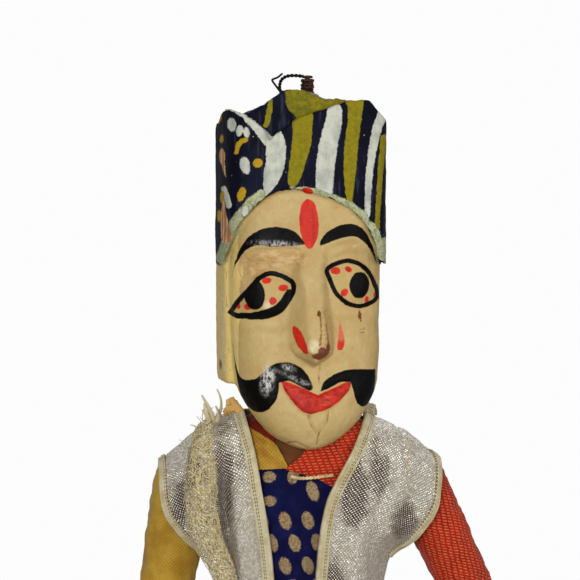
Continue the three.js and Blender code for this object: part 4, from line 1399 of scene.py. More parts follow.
# The folds of each part of the waistcoat: where each runs, how high it stands, and its width.
VEST_FOLDS = {
    "right": [
        ([(-35.4, -154), (-36.6, -182), (-33.6, -216)], -5.4, 3.3),
        ([(-29.4, -158), (-29.6, -190), (-26, -215)], 1.7, 3.0),
        ([(-43.5, -152), (-45.5, -180), (-40, -205)], 1.6, 5.0),
        ([(-49.5, -160), (-49.0, -180), (-46, -196)], -1.5, 3.2),
        ([(-55.0, -164), (-55.0, -186)], 1.2, 3.5),
    ],
    "left": [
        ([(42.6, -148), (41.6, -156), (40.8, -166)], -1.2, 0.9),
        ([(30, -160), (25, -178), (18, -205)], 1.3, 4.5),
        ([(47, -166), (44, -182), (36, -205)], -1.4, 4.0),
        ([(53.5, -162), (53.0, -184)], 1.3, 4.0),
        ([(26, -190), (30, -215)], -1.6, 4.0),
    ],
    "back": [
        ([(-14, -165), (-10, -200), (-8, -230)], -1.6, 3.5),
        ([(12, -160), (10, -195), (6, -230)], -1.8, 3.5),
        ([(-30, -170), (-26, -200), (-18, -230)], 1.4, 5),
        ([(30, -168), (27, -200), (18, -230)], 1.4, 5),
    ],
}


def folded(grid, folds):
    """A sheet with its folds, and the directions out of it before it had them."""
    out = outward_normals(grid)
    for line, height, width in folds:
        grid = fold(grid, out, line, height, width)
    return grid, out


def vest_front(side):
    rails, seed = (VEST_RIGHT, 11) if side == "right" else (VEST_LEFT, 12)
    grid, out = folded(patch(rails, VEST_COLUMNS, VEST_ROWS), VEST_FOLDS[side])
    grid = crumple(grid, out, 11, 0.7, seed)
    return grid, outward_normals(grid)


def left_of(rail, drop_from, drop):
    """A rail of the right side copied to the left, where the shoulder stands a little differently."""
    return [(-x, y, z + drop * float(smoothstep(drop_from, drop_from + 12, z))) for x, y, z in rail]


def vest_back():
    outer = [
        (-33.5, 0, -233), (-36.5, 0, -217), (-39.4, 3, -205), (-49, 13, -196), (-56, 17.5, -185),
        (-59, 18, -175), (-60.2, 15.4, -168.6), (-60.6, 9.2, -164.8), (-60.2, 0.6, -163.4),
    ]
    neck = [
        (-17, 22.5, -233), (-18.5, 23.6, -216), (-20, 24.6, -200), (-22.6, 25, -184),
        (-24.0, 24.4, -171), (-25, 22, -158), (-26, 16.4, -150.6), (-26.8, 8.6, -145.4),
        (-27.4, 0.6, -142.4),
    ]
    centre = [
        (0, 24.5, -233), (0, 25.5, -217), (0, 26.2, -201), (0, 26.4, -186), (0, 26, -173),
        (0, 24.8, -162), (0, 23.6, -156), (0, 22.6, -151.5), (0, 21.8, -149),
    ]
    rails = [outer, neck, centre, left_of(neck, -156, -3.2), left_of(outer, -172, 1.0)]
    grid, out = folded(patch(rails, 120, 110), VEST_FOLDS["back"])
    return crumple(grid, out, 12, 0.8, 14)


def tape(name, edge, inward, out, width, finish):
    """A strip of braid sewn over an edge: inward and out are directions at each point of the edge."""
    section = [(-BRAID_OVERHANG, -0.5), (-BRAID_OVERHANG, 0.5), (-BRAID_OVERHANG + 0.35, 0.9)]
    ridges = ((0.2, 1.0), (0.3, 0.72), (0.42, 1.02), (0.6, 1.02), (0.72, 0.72), (0.84, 0.98))
    section += [(width * share, rise) for share, rise in ridges]
    section += [(width - 0.3, 0.82), (width, 0.45), (width, 0.15), (width * 0.5, -0.25)]
    points, across, along = [], [], []
    length = np.concatenate([[0], np.cumsum(np.linalg.norm(np.diff(edge, axis=0), axis=1))])
    ripple = rough_field(edge, 7, 21)
    for i, centre in enumerate(edge):
        for s, h in section:
            lift = h * BRAID_HEIGHT / 1.02 + 0.25 * ripple[i]
            points.append(centre + inward[i] * s + out[i] * lift)
            across.append(s + BRAID_OVERHANG)
            along.append(length[i])
    faces = grid_faces(len(edge), len(section), wrap=True) + end_faces(len(edge), len(section))
    thing = outward(mesh_object(name, points, faces))
    set_number(thing, "across", across)
    set_number(thing, "along", along)
    thing.data.materials.append(finish)
    return thing


def edge_frames(grid, normals, column):
    """A sheet's edge, the direction into the sheet, and the direction out of its face."""
    edge = grid[:, column]
    inner = grid[:, 3 if column == 0 else -4]
    inward = inner - edge
    inward /= np.linalg.norm(inward, axis=1, keepdims=True)
    return edge, inward, normals[:, column]


def turned_back_end(edge, inward, up):
    """Carries a strip of braid past its last point in a loop that turns back on itself."""
    bend = np.array([
        (0.2, 0.6, 1.2), (0.5, 1.6, 2.6), (1.4, 3.0, 3.5), (2.7, 4.2, 3.2), (3.6, 4.8, 1.8),
        (3.9, 4.9, -0.2),
    ])
    loop = through(np.vstack([edge[-1], edge[-1] + bend]), 24)[1:]
    turn = np.linspace(0, 1, 23)[:, None]
    across = inward[-1] * (1 - turn) + np.array((0.75, 0.6, -0.2)) * turn
    ahead = np.gradient(loop, axis=0)
    out = np.cross(ahead, across)
    out *= np.sign(np.sum(out[0] * up[-1])) / np.linalg.norm(out, axis=1, keepdims=True)
    return np.vstack([edge, loop]), np.vstack([inward, across]), np.vstack([up, out])


def smooth_rows(rows):
    rows = np.array(rows, float)
    for _ in range(6):
        rows[1:-1] = (rows[:-2] + 2 * rows[1:-1] + rows[2:]) / 4
    return rows


# Where the lamé has worn, and where shade in a fold is painted, as ovals on the drawing: middle, width and
# height.
FRONT_WEAR_AND_SHADE = [
    # the first oval: painted shade in the deep fold beside the scarf, as well as wear
    (-32.6, -169, 9, 40), (-50, -179, 9, 20), (-25, -156, 3, 24), (-46, -214, 16, 20),
    (22, -174, 13, 30), (33, -166, 8, 20), (44, -188, 12, 18), (14, -216, 12, 26), (-20, -222, 8, 16),
]
BACK_WEAR = [(0, -226, 44, 9), (-40, -186, 7, 22), (38, -188, 7, 22)]


def wear_and_shade_lame(thing, spots):
    """Keeps how far each point is from the places where the cloth has worn, and from the painted shade in a
    deep fold.
    """
    drawing = Sheet(on_drawing(points_of(thing)))
    set_number(thing, "worn", union(*[drawing.dab(*spot) for spot in spots]))


def dart_stitches(grid, out, finish):
    """A sewn dart that runs down from the left shoulder."""
    places, facing = grid.reshape(-1, 3), out.reshape(-1, 3)
    lines = []
    for share in np.arange(13) / 12:
        x, z = 44.6 - 3.2 * share, -152 - 15.5 * share
        i = np.argmin((places[:, 0] - x) ** 2 + (places[:, 2] - z) ** 2)
        arch = [(along, 0.25 + 0.5 * math.sin(math.pi * along)) for along in np.linspace(0, 1, 6)]
        lines.append([
            places[i] + facing[i] * rise + np.array((0.05, 0, -1.25 * (along - 0.5)))
            for along, rise in arch
        ])
    return many_threads("dart_stitches", lines, 0.2, finish, 6)


def make_waistcoat(silver, braid, thread):
    for side, sign in (("right", -1), ("left", 1)):
        grid, out = vest_front(side)
        front = cloth(f"waistcoat_front_{side}", grid, silver, VEST_CLOTH)
        wear_and_shade_lame(front, FRONT_WEAR_AND_SHADE)
        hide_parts(f"vest_front_{side}", f"vest_shoulder_{side}")
        edge, inward, up = (smooth_rows(rows) for rows in edge_frames(grid, out, 0))
        if side == "left":
            edge, inward, up = turned_back_end(edge, inward, up)
        front_tape = tape(f"front_tape_{side}", edge, inward, up, FRONT_BRAID, braid)
        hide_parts(f"front_braid_{side}")
        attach(front_tape, "trunk")
        first = int(VEST_ROWS * BRAID_START)
        edge, inward, up = (smooth_rows(rows[first:]) for rows in edge_frames(grid, out, -1))
        arm_tape = tape(f"armhole_tape_{side}", edge, inward, up, ARMHOLE_BRAID, braid)
        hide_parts(f"armhole_braid_{side}")
        sewn = [front, arm_tape]
        if side == "left":
            sewn.append(dart_stitches(grid, out, thread))
        for piece in sewn:
            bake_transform(piece)
    grid = vest_back()
    back = cloth("waistcoat_back", grid, silver, VEST_CLOTH)
    wear_and_shade_lame(back, BACK_WEAR)
    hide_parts("vest_back")
    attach(back, "trunk")


# ---- robe ---------------------------------------------------------------------------------------

WAIST = -266.0
HIP_RADIUS = 29
# The stuffed body's section at each height, as z, half width, front, back and squareness.
BODY = [
    (-140, 12, -8, 10, 2.2),
    (-148, 27.5, -15.5, 17.5, 2.5),
    (-156, 31.5, -19, 20, 2.6),
    (-178, 32.5, -22, 21, 2.6),
    (-200, 30.5, -21, 20, 2.4),
    (-220, 26, -19, 18, 2.2),
    (-236, 20.5, -18, 17.5, 2.1),
    (-243, 18.8, -18.5, 18.5, 2.0),
    (-248, 21.4, -21.4, 21.4, 2.0),
]


DRAWN_ACROSS = 3.6  # how far the chest, which stands in front of X = 0, shifts across the drawing


def on_body(x, z, lift):
    """The point of the body's front at x and z, lifted out by some millimetres."""
    table = np.array(BODY)[::-1]
    half, front, square = (np.interp(z, table[:, 0], table[:, k]) for k in (1, 2, 4))
    reach = np.clip(np.abs(x) / (half + lift), 0, 0.995)
    x = np.sign(x) * reach * (half + lift)
    y = (front - lift) * (1 - reach**square) ** (1 / square)
    return np.stack([x, y, z], axis=-1)


def body_sheet(low, high, columns, rows, lift):
    """A grid between two lines of (a, z) on the drawing, laid on the front of the body."""
    a = np.linspace(low[0][0], low[-1][0], columns)
    share = np.linspace(0, 1, rows)[:, None]
    bottom, top = height_at(low, a), height_at(high, a)
    z = bottom + (top - bottom) * share
    x = (a - DRAWN_ACROSS) / ACROSS[0] + 0 * z
    return on_body(x, z, lift)


def on_drawing(points):
    """Points as (a, z)."""
    return np.column_stack([ACROSS[0] * points[:, 0] + ACROSS[1] * points[:, 1], points[:, 2]])


ROBE_HEM = -247
# The robe's pieces as finish, node, lower line, upper line, lift off the body, columns and rows.
ROBE_SHEETS = {
    "neck_cloth": ("brown", "neck_lining", [(-30, -167), (34, -167)], [(-30, -146), (34, -146)], 0.8, 60, 40),
    "chest_cloth": (
        "navy", "robe_chest_panel",
        [(-27, ROBE_HEM), (31, ROBE_HEM)],
        [(-28, -163.6), (32, -166)],
        1.6, 110, 140,
    ),
    "yoke_cloth_right": (
        "yellow", "yoke_right",
        [(-36, -166.5), (-17.6, -165.6), (-5.4, -164.9)],
        [(-36, -141), (-24, -143.6), (-20.4, -148.0), (-13, -152.6), (-9.6, -155.4), (-5.0, -164.6)],
        2.6, 90, 60,
    ),
    "yoke_cloth_left": (
        "red", "yoke_left",
        [(-6.2, -165.4), (-1.9, -166.6), (7.7, -169.8), (14.4, -173.6), (19, -176), (37, -177)],
        [
            (-6.2, -164.8), (-1.2, -161.4), (3.2, -156.6), (12, -151.4), (20.6, -146.6), (25, -143.6),
            (31, -148), (37, -156),
        ],
        3.2, 90, 70,
    ),
    "neck_strip": (
        # a darker red: red cloth with the chin's shade painted into its colour
        "red_in_shade", "neck_lining", [(-28, -158), (-10, -160)], [(-28, -137), (-10, -148)], 1.6, 40, 40,
    ),
}
ROBE_FOLDS = {
    "yoke_cloth_left": [
        ([(2, -160), (12, -163), (22, -168)], 1.2, 3.2),
        ([(8, -152), (16, -156), (24, -158)], -1.2, 2.4),
    ],
    "yoke_cloth_right": [([(-24, -152), (-16, -158), (-10, -163)], 0.9, 2.2)],
}
# The chest's upper leaves, as middle, width, height and lean; the rest are in rows.
TOP_LEAVES = [(-13.1, -168.6, 5.6, 4.6, 10), (-3.1, -168.4, 4.6, 6.2, -8), (5.2, -174.6, 4.8, 8.6, 20)]
TOP_LEAVES += [(-12.9, -178.6, 5.6, 4.4)]
SMALLEST_SHARE = 0.31  # of its width times its length, the least that a sheet's area is taken to be


def leaf_rows(drawing, columns, rows, place, leaf):
    """Woven leaves in rows that are shifted by turns. Place gives a leaf's middle by column and row."""
    return [drawing.dab(*place(column, row), *leaf) for row in range(rows) for column in columns]


def make_robe(finishes):
    for name, (tone, node, low, high, lift, columns, rows) in ROBE_SHEETS.items():
        grid, out = folded(body_sheet(low, high, columns, rows, lift), ROBE_FOLDS.get(name, ()))
        grid = crumple(grid, out, 7, 0.45, len(name))
        thing = cloth(name, grid, finishes[tone], 0.8, level=True)
        if tone == "navy":
            drawing = Sheet(on_drawing(points_of(thing)))
            place = lambda column, row: (-16 + 9.6 * column + 4 * (row % 2), -187 - 9.6 * row)
            leaves = [drawing.dab(*leaf) for leaf in TOP_LEAVES]
            leaves += leaf_rows(drawing, range(-1, 5), 7, place, (4.8, 7.6, 18))
            set_number(thing, "leaf", union(*leaves))
        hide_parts(node)
        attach(thing, "trunk")
        width, length, area = flat_size(grid)
        area = max(area, SMALLEST_SHARE * width * length)


# ---- nail and hanging wire ----------------------------------------------------------------------

NAIL_X, NAIL_Y = 3.1, 0
BINDING_TURNS, BINDING_SPAN = 7.4, (-7.1, -0.5)  # of the wire wound on the nail
WIRE = [
    (1.2, 0, 0.9), (-1.5, 0.1, 1.2), (-4.9, 0, 1.1), (-7.5, 0, 0.0), (-8.7, 0, -2.0),
    (-8.9, -0.1, -4.4), (-8.2, -0.2, -6.5),
]
WIRE_TAIL = [
    (-8.3, -0.3, -6.2), (-10.4, -0.5, -3.5), (-12.2, -0.8, -1.0), (-11.4, -0.9, -0.3),
    (-9.8, -0.9, 0.4), (-7.8, -0.9, 2.0),
]


def make_hanger():
    rust = iron("rusty_iron", (92, 56, 36), (38, 24, 18), 0.5)
    wire = iron("dark_wire", (52, 46, 42), (22, 20, 20), 0.75)
    x, y = NAIL_X, NAIL_Y
    rings = [
        (-43.5, 0.25), (-38, 1.0), (-20, 1.1), (0.0, 1.1), (0.2, 2.3), (0.9, 2.4), (1.2, 1.8),
        (1.35, 0.4),
    ]
    path = [(x, y, z) for z, _ in rings]
    nail = swept("nail", path, circle(1.0, 24), up=(0, 1, 0), scale=[r for _, r in rings])
    nail.data.materials.append(rust)
    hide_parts("head_nail")
    turn = np.linspace(0, 2 * np.pi * BINDING_TURNS, 300)
    rise = np.linspace(*BINDING_SPAN, 300)
    reach = 2.15 + 0.42 * np.sin(turn * 0.31) + 0.2 * np.sin(turn * 1.7)
    rise += 0.25 * np.sin(turn * 0.5)
    coil = np.column_stack([x + reach * np.cos(turn), y + reach * np.sin(turn), rise])
    binding = swept("binding", coil, circle(0.68, 10), up=(0, 0, 1))
    binding.data.materials.append(rust)
    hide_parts("nail_binding")
    hanging = join("hanging_wire_twist", [
        twisted("arch", WIRE, 0.4, 2, 2.8, wire),
        swept("tail", through(WIRE_TAIL, 60), circle(0.46, 9)),
    ])
    hanging.data.materials.append(wire)
    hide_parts("hanging_wire")
    for thing, look in ((nail, "rusty_iron"), (binding, "rusty_iron"), (hanging, "dark_wire")):
        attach(thing, "trunk")


# ---- net scarf, knots and threads ---------------------------------------------------------------

SCARF = [
    (-38.6, -1.0, -148.6), (-41.0, -7.6, -150.2), (-43.4, -15.0, -154.4), (-45.2, -22.2, -161.6),
    (-46.2, -27.6, -171), (-46.4, -29.6, -182), (-43.4, -28.4, -194), (-37.4, -25.2, -206),
    (-34.0, -23.4, -217),
]
SCARF_WIDE = [4.2, 5.4, 6.2, 7.0, 7.5, 7.4, 6.7, 5.6, 4.6]
SCARF_FLAT = 0.5
SCARF_STEPS = 90
# How many threads of each kind the net has, and their radii.
LYING, SLANTING, GLINTS, STANDING, HANGING = 560, 330, 150, 22, 26
NET_THREAD, GLINT_THREAD = 0.15, 0.17


def lay_thread(path, side, lift, wide, at, angle, swing, drift):
    """One thread that lies across the roll, slanting along it."""
    points = []
    for step in np.linspace(-0.5, 0.5, 7):
        place = min(max(at + drift * step, 0), len(path) - 1.1)
        low, share = int(place), place - int(place)
        centre = path[low] * (1 - share) + path[low + 1] * share
        turn = angle + swing * step
        reach = wide[low] * 0.88 * (1.0 + 0.07 * math.sin(step * 13 + angle * 5) + rng.uniform(0, 0.07))
        out = side[low] * reach * math.cos(turn) + lift[low] * (reach * SCARF_FLAT + 0.25) * math.sin(turn)
        points.append(centre + out)
    return points


def make_scarf(threads, core_finish):
    """A strip of metal net rolled up, its loose threads lying across it and its torn end standing up."""
    share = np.linspace(0, 1, SCARF_STEPS)
    path, wide = through(SCARF, SCARF_STEPS), np.interp(share, np.linspace(0, 1, 9), SCARF_WIDE)
    _, side, lift = frames_along(path, (0, -1, 0.3))
    core = swept("scarf_roll", path, circle(1, 32, SCARF_FLAT), up=(0, -1, 0.3), scale=wide * 0.86)
    place = points_of(core)
    set_number(core, "across", np.tile(np.linspace(0, 34, 32, endpoint=False), SCARF_STEPS))
    set_number(core, "along", np.repeat(np.linspace(0, 92, SCARF_STEPS), 32))
    worn = rough_field(place, 8, 30, 2) * 4 + 1.5 - 3 * bump(place[:, 2], -166, 9)
    set_number(core, "worn", worn)
    move_points(core, place + normals_of(core) * (0.25 * rough_field(place, 3, 31, 2))[:, None])
    core.data.materials.append(core_finish)

    def lay(reach, *thread):
        return lay_thread(path, side, lift, reach, *thread)

    uniform, around = rng.uniform, math.pi / 2
    lines = []
    for _ in range(LYING):
        slant = rng.choice((-1, 1, 1))
        thread = uniform(1, 88), rng.gauss(around, 1.0), uniform(0.4, 1.2), slant * uniform(0.5, 4.0)
        lines.append(lay(wide, *thread))
    for _ in range(SLANTING):
        slant = uniform(5, 16)
        lines.append(lay(wide, uniform(4, 84), rng.gauss(around + 0.15, 0.8), uniform(-0.6, 0.6), slant))
    glints = []
    for _ in range(GLINTS):
        thread = uniform(6, 84), rng.gauss(around - 0.1, 0.45), uniform(0.1, 0.25), uniform(0.3, 1.2)
        glints.append(lay(wide * 1.02, *thread))
    for _ in range(STANDING):
        lean, bend = uniform(-0.6, 0.35), uniform(-0.6, 0.6)
        length = uniform(4, 11)
        start = path[2] + np.array((uniform(-3.5, 2.5), uniform(-3, 2), uniform(-1.5, 1)))
        line = []
        for step in np.linspace(0, 1, 8):
            tilt = lean + bend * step
            line.append(start + length * step * np.array((math.sin(tilt) * 0.9, 0.02, math.cos(tilt))))
        lines.append(line)
    for _ in range(HANGING):
        start = path[88] + np.array((uniform(-4, 4), uniform(-2, 1), uniform(-1, 2)))
        length = uniform(2, 7)
        line = []
        for step in np.linspace(0, 1, 6):
            line.append(start + length * step * np.array((uniform(-0.1, 0.1), -0.05, -1)))
        lines.append(line)
    net = many_threads("scarf_threads", lines, NET_THREAD, threads, 4)
    # silver threads coloured near white: painted glints
    bright = iron("scarf_metal", (255, 250, 240), (236, 226, 204), 0.3)
    metal = many_threads("scarf_glints", glints, GLINT_THREAD, bright, 4)
    for thing in (core, net, metal):
        hang_with_shoulder(thing)


def hang_with_shoulder(thing):
    """Bakes a piece of the scarf into place, and hides the model's scarf part."""
    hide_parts("net_scarf")
    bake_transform(thing)


def ribbon_tuft(name, starts, finish):
    """Short torn strips of cloth that stand out of a fold: each is a start, an end, a width and a bend."""
    strips = []
    for k, (start, end, width, bend) in enumerate(starts):
        t = np.linspace(0, 1, 10)[:, None]
        start, end = np.asarray(start, float), np.asarray(end, float)
        path = start + (end - start) * t + np.asarray(bend) * (t * (1 - t) * 4)
        taper = np.linspace(1, 0.35, 10)
        section = [(-width / 2, -0.16), (width / 2, -0.16), (width / 2, 0.16), (0, 0.3), (-width / 2, 0.16)]
        turn = 0.9 - 0.4 * k
        strips.append(swept(f"{name}_{k}", path, section, up=(0.1, -1, 0.2), scale=taper, twist=turn))
    thing = join(name, strips)
    smooth_shaded(thing)
    thing.data.materials.append(finish)
    return thing


BACK_LOOP, LASHING = 3.0, 2.5  # the radii of the loop at the back and of the stitches that hold the arms


def thread_ring(name, centre, radius, finish, thick=0.26):
    """A loop of two-ply thread that stands across X."""
    turn = np.linspace(0, 2 * np.pi, 40)
    one, two = np.array(((0, 1, 0), (0, 0, 1)), float)
    path = np.array(centre) + radius * (np.cos(turn)[:, None] * one + np.sin(turn)[:, None] * two)
    return twisted(name, path, thick, 2, 1.9, finish, up=np.cross(one, two) + 0.001)


def make_threads(thread):
    tie = [
        (-7.6, -24.4, -168.2), (-6.8, -25.6, -168.5), (-4, -26.2, -168.8), (0, -26.4, -168.7),
        (4.4, -26.2, -168.3), (8.6, -25.7, -167.9), (9.8, -24.3, -168.0),
    ]
    made = {
        "chest_tie_thread": twisted("chest_tie", tie, 0.38, 2, 2.4, thread),
        "back_string_loop": thread_ring("back_loop", (0, 29.4, -215), BACK_LOOP, thread),
    }
    for side, sign in (("right", -1), ("left", 1)):
        lashing = thread_ring(f"lashing_{side}", (sign * 37.9, 0, -174), LASHING, thread, 0.14)
        made[f"shoulder_lashing_{side}"] = lashing
    for node, thing in made.items():
        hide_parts(node)
        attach(thing, "trunk")


NECK_TWISTS = [  # each a path and its radii
    (
        [(-26.6, -9, -144.6), (-27.8, -10, -141.4), (-29.8, -9.4, -138.6), (-30.8, -8.6, -135.8)],
        [1.6, 2.2, 2.0, 0.8],
    ),
    (
        [(-33.0, -7, -143.4), (-32.6, -9.4, -141.0), (-30.4, -10.2, -140.2), (-28.4, -10, -141.0)],
        [0.9, 1.7, 1.6, 0.9],
    ),
    (
        [(-31.8, -7, -140.6), (-32.2, -8.4, -138.6), (-31.6, -8.6, -136.8), (-30.4, -8.4, -136.4)],
        [1.0, 1.2, 1.0, 0.6],
    ),
]


def make_neck_knot(orange, pale):
    """A twist of orange cloth caught at the top of the braid, and the scarf's torn end."""
    twists = []
    for k, (line, radii) in enumerate(NECK_TWISTS):
        path = through(line, 26)
        scale = np.interp(np.linspace(0, 1, 26), np.linspace(0, 1, 4), radii)
        twist = swept(f"neck_twist_{k}", path, circle(1, 14, 0.75), scale=scale)
        place = points_of(twist)
        move_points(twist, place + normals_of(twist) * (0.7 * rough_field(place, 1.5, 71 + k, 2))[:, None])
        twists.append(twist)
    knot = join("neck_twist", twists)
    knot.data.materials.append(orange)
    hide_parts("neck_knot")
    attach(knot, "trunk")
    tuft = ribbon_tuft("scarf_torn_ends", [
        ((-38.0, -4, -147), (-43.2, -5, -135.0), 2.8, (0.9, -0.8, -0.6)),
        ((-39.4, -4.6, -147), (-42.2, -5.6, -138.4), 2.6, (-0.6, -1, 0)),
        ((-37.8, -4.4, -147), (-36.6, -4, -132.6), 1.7, (2.4, -0.5, 0)),
        ((-37.0, -5, -147), (-37.4, -6.0, -139.6), 2.2, (1.0, -0.8, 0)),
        ((-42.6, -6, -153), (-48.6, -8.0, -147.4), 1.0, (0, -0.6, 1.6)),
        ((-50.0, -14, -160), (-54.0, -14.0, -153.0), 0.7, (0.6, -0.6, 1.6)),
    ], pale)
    hang_with_shoulder(tuft)


# ---- stuffed body and the robe's back -----------------------------------------------------------


def make_body(calico, navy):
    hip = []
    for z in (-249, -257, -266, -275, -283, -290):
        radius = math.sqrt(HIP_RADIUS**2 - (z - WAIST) ** 2)
        hip.append((z, radius, -radius, radius, 2.0))
    rings = [*BODY[1:-1], *hip, (-294, 7.7, -7.7, 7.7, 2.0)]
    body = loft("stuffed_body", [(-142.4, 20, -11, 13, 2.3), *rings], 110, 96)
    place = points_of(body)
    lumps = 0.45 * rough_field(place, 9, 41, 2) - 0.45
    move_points(body, place + normals_of(body) * lumps[:, None])
    set_number(body, "across", np.arctan2(place[:, 0], -place[:, 1]) * 26)
    set_number(body, "along", place[:, 2])
    body.data.materials.append(calico)
    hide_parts("torso_stuffing")
    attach(body, "trunk")
    columns, rows = 90, 90
    a, z = np.linspace(-1, 1, columns), np.linspace(ROBE_HEM, -150, rows)[:, None]
    table = np.array(BODY)[::-1]
    half, back, square = (np.interp(z, table[:, 0], table[:, k]) for k in (1, 3, 4))
    reach = np.abs(a) * 0.985
    y = (back + 1.2) * (1 - reach**square) ** (1 / square)
    grid = np.stack([a * 0.985 * (half + 1.2), y, z + 0 * a], axis=-1)
    out = outward_normals(grid)
    grid = crumple(grid, out, 9, 0.35, 43)
    robe = cloth("robe_back", grid, navy, 0.7)
    set_number(robe, "leaf", np.full(len(robe.data.vertices), FAR))
    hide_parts("robe_back_panel")
    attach(robe, "trunk")


# ---- arms ---------------------------------------------------------------------------------------

SHOULDER = (51, 0, -174)
SPREAD = {"right": math.radians(9), "left": math.radians(26)}
ELBOW = -64.0
WRIST = -121.0
CUFF = (-106.4, -115.6)  # the heights of its edges
HAND_VOXEL = 0.42
HAND_LOOP = 1.9  # the radius of the thread loop on each hand
# The sleeve's rings down the arm, as height below the shoulder, half width and half depth.
SLEEVE = [
    (12.8, 0.8, 0.8),
    (11.6, 5.6, 5.6),
    (8.0, 10.0, 10.0),
    (3.0, 12.4, 12.4),
    (-4, 12.8, 12.8),
    (-18, 12.6, 12.4),
    (-34, 12.2, 11.8),
    (-46, 11.8, 10.4),
    (-55, 11.2, 6.2),
    (-60, 10.6, 2.4),
    (-63, 10.2, 0.9),
    (-65, 10.2, 0.9),
    (-68, 10.4, 2.4),
    (-73, 10.9, 6.0),
    (-81, 11.0, 9.4),
    (-92, 10.6, 10.2),
    (-103, 9.6, 9.4),
    (-110, 8.6, 8.6),
    (-112, 7.6, 7.6),
    (-112.6, 5.0, 5.0),
    (-112.8, 0.8, 0.8),
]
HAND = [
    (5.4, 1.0, 1.0),
    (4.2, 3.8, 3.6),
    (0, 5.5, 4.7),
    (-5, 7.1, 4.5),
    (-11, 8.9, 4.8),
    (-19, 9.1, 4.5),
    (-26, 7.5, 3.7),
    (-31, 4.3, 2.5),
    (-32.4, 0.9, 0.7),
]


def on_arm(side, points):
    """Points given beside a hanging arm, put where that arm rests. Out from the body is positive x."""
    sign = -1 if side == "right" else 1
    x, y, z = np.asarray(points, float).T
    c, s = math.cos(SPREAD[side]), math.sin(SPREAD[side])
    return np.column_stack([sign * (SHOULDER[0] + x * c - z * s), y, SHOULDER[2] + z * c + x * s])


def arm_rings(rings, count, sides):
    rows = through(rings, count)
    rows[:, 1:] = np.maximum(rows[:, 1:], 0.6)
    angle = np.linspace(0, 2 * np.pi, sides, endpoint=False)
    points = [(half * math.cos(t), deep * math.sin(t), z) for z, half, deep in rows for t in angle]
    return np.array(points), grid_faces(count, sides, wrap=True) + end_faces(count, sides)


def make_sleeve(side, finish):
    """A stuffed sleeve, pinched flat at the elbow, with gathers beside the pinch and a seam under the arm."""
    sides, count = 112, 210
    local, faces = arm_rings(SLEEVE, count, sides)
    x, y, z = local.T
    angle = np.arctan2(y, x)
    seam = smoothstep(2.5, 9, np.abs(z - ELBOW))
    near = bump(z, ELBOW + 9, 8) + bump(z, ELBOW - 9, 8)
    gather = np.cos(9 * angle + 1.1 * np.sin(z / 6)) * 0.55 * near
    crease = 0.75 * rough_field(local * (1, 1, 1.7), 9, 51 + len(side), 3)
    sag = -0.7 * np.abs(np.sin((z + 3 * np.sin(angle)) / 7.5)) * smoothstep(-8, -24, z)
    under_arm = -0.55 * bump(np.abs(np.abs(angle) - np.pi), 0, 0.09)
    lift = (gather + crease * 0.8 + sag * 0.5 + under_arm) * seam
    out = np.column_stack([np.cos(angle), np.sin(angle), np.zeros(len(z))])
    flat = mesh_object(f"sleeve_{side}", on_arm(side, local + out * lift[:, None]), faces)
    sleeve = outward(flat)
    set_number(sleeve, "across", angle * 12)
    set_number(sleeve, "along", z)
    sleeve.data.materials.append(finish)
    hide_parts(f"upper_arm_{side}", f"forearm_{side}")
    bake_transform(sleeve)


def make_elbow_stitches(side, thread):
    """Nine stitches through the flattened sleeve, which let the arm bend there."""
    lines = []
    for k in range(9):
        x = -9.2 + 2.3 * k
        ring = []
        for t in np.linspace(0, 2 * np.pi, 13):
            ring.append((x + 0.5 * math.cos(t), 1.15 * math.sin(t), ELBOW + 0.95 * math.cos(t)))
        lines.append(on_arm(side, ring))
    stitches = many_threads(f"elbow_stitches_{side}", lines, 0.26, thread, 6)
    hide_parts(f"elbow_seam_{side}")
    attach(stitches, f"upper_arm_{side}")


def make_cuff(side, braid):
    """A band of braid round the wrist."""
    rows, columns = 9, 72
    angle = np.linspace(0, 2 * np.pi, columns, endpoint=False)
    grid = []
    for z in np.linspace(*CUFF, rows):
        reach = 10.5 + 0.03 * (z + 106) + 0.25 * np.sin(7 * angle + z)
        local = np.column_stack([reach * np.cos(angle), reach * np.sin(angle), np.full(columns, z)])
        grid.append(on_arm(side, local))
    grid = np.array(grid)
    cuff = cloth(f"cuff_{side}", grid, braid, 1.2, wrap=True)
    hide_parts(f"cuff_braid_{side}")
    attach(cuff, f"forearm_{side}")


def make_hand(side, paint):
    """A carved mitten hand with a thumb, and knife cuts between the fingers."""
    local, faces = arm_rings([(z + WRIST, half, deep) for z, half, deep in HAND], 60, 48)
    palm = outward(mesh_object("palm", local, faces))
    sweep = [(-3, -1, -5), (-3.6, -4.4, -8.4), (-4.2, -6.8, -13), (-4.0, -8.0, -18.5), (-3.8, -7.8, -20.2)]
    path = through([(x, y, z + WRIST) for x, y, z in sweep], 24)
    taper = np.interp(np.linspace(0, 1, 24), [0, 0.8, 0.94, 1], [2.6, 2.3, 1.7, 0.7])
    thumb = swept("thumb", path, circle(1, 20, 0.86), up=(1, 0, 0.01), scale=taper)
    hand = one_skin(join(f"hand_{side}_carving", [palm, thumb]), HAND_VOXEL)
    soften(hand, 4, np.ones(len(hand.data.vertices)))
    place, facing = points_of(hand), normals_of(hand)
    x, y, z = place.T
    below = z - WRIST
    fan = x / np.maximum(9.2 * smoothstep(-36, -14, below) + 2.5, 1)
    cuts = sum(bump(fan, at, 0.055) for at in (-0.42, 0.02, 0.44)) * smoothstep(-13, -18, below)
    knife = 0.14 * rough_field(place, 4.5, 61, 2)
    place += facing * (knife - 0.75 * cuts)[:, None]
    set_number(hand, "cuts", np.clip(1 - cuts, 0, 1))
    move_points(hand, on_arm(side, place))
    if side == "right":
        outward(hand)
    smooth_shaded(hand)
    hand.data.materials.append(paint)
    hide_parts(f"hand_{side}")
    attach(hand, f"hand_{side}")


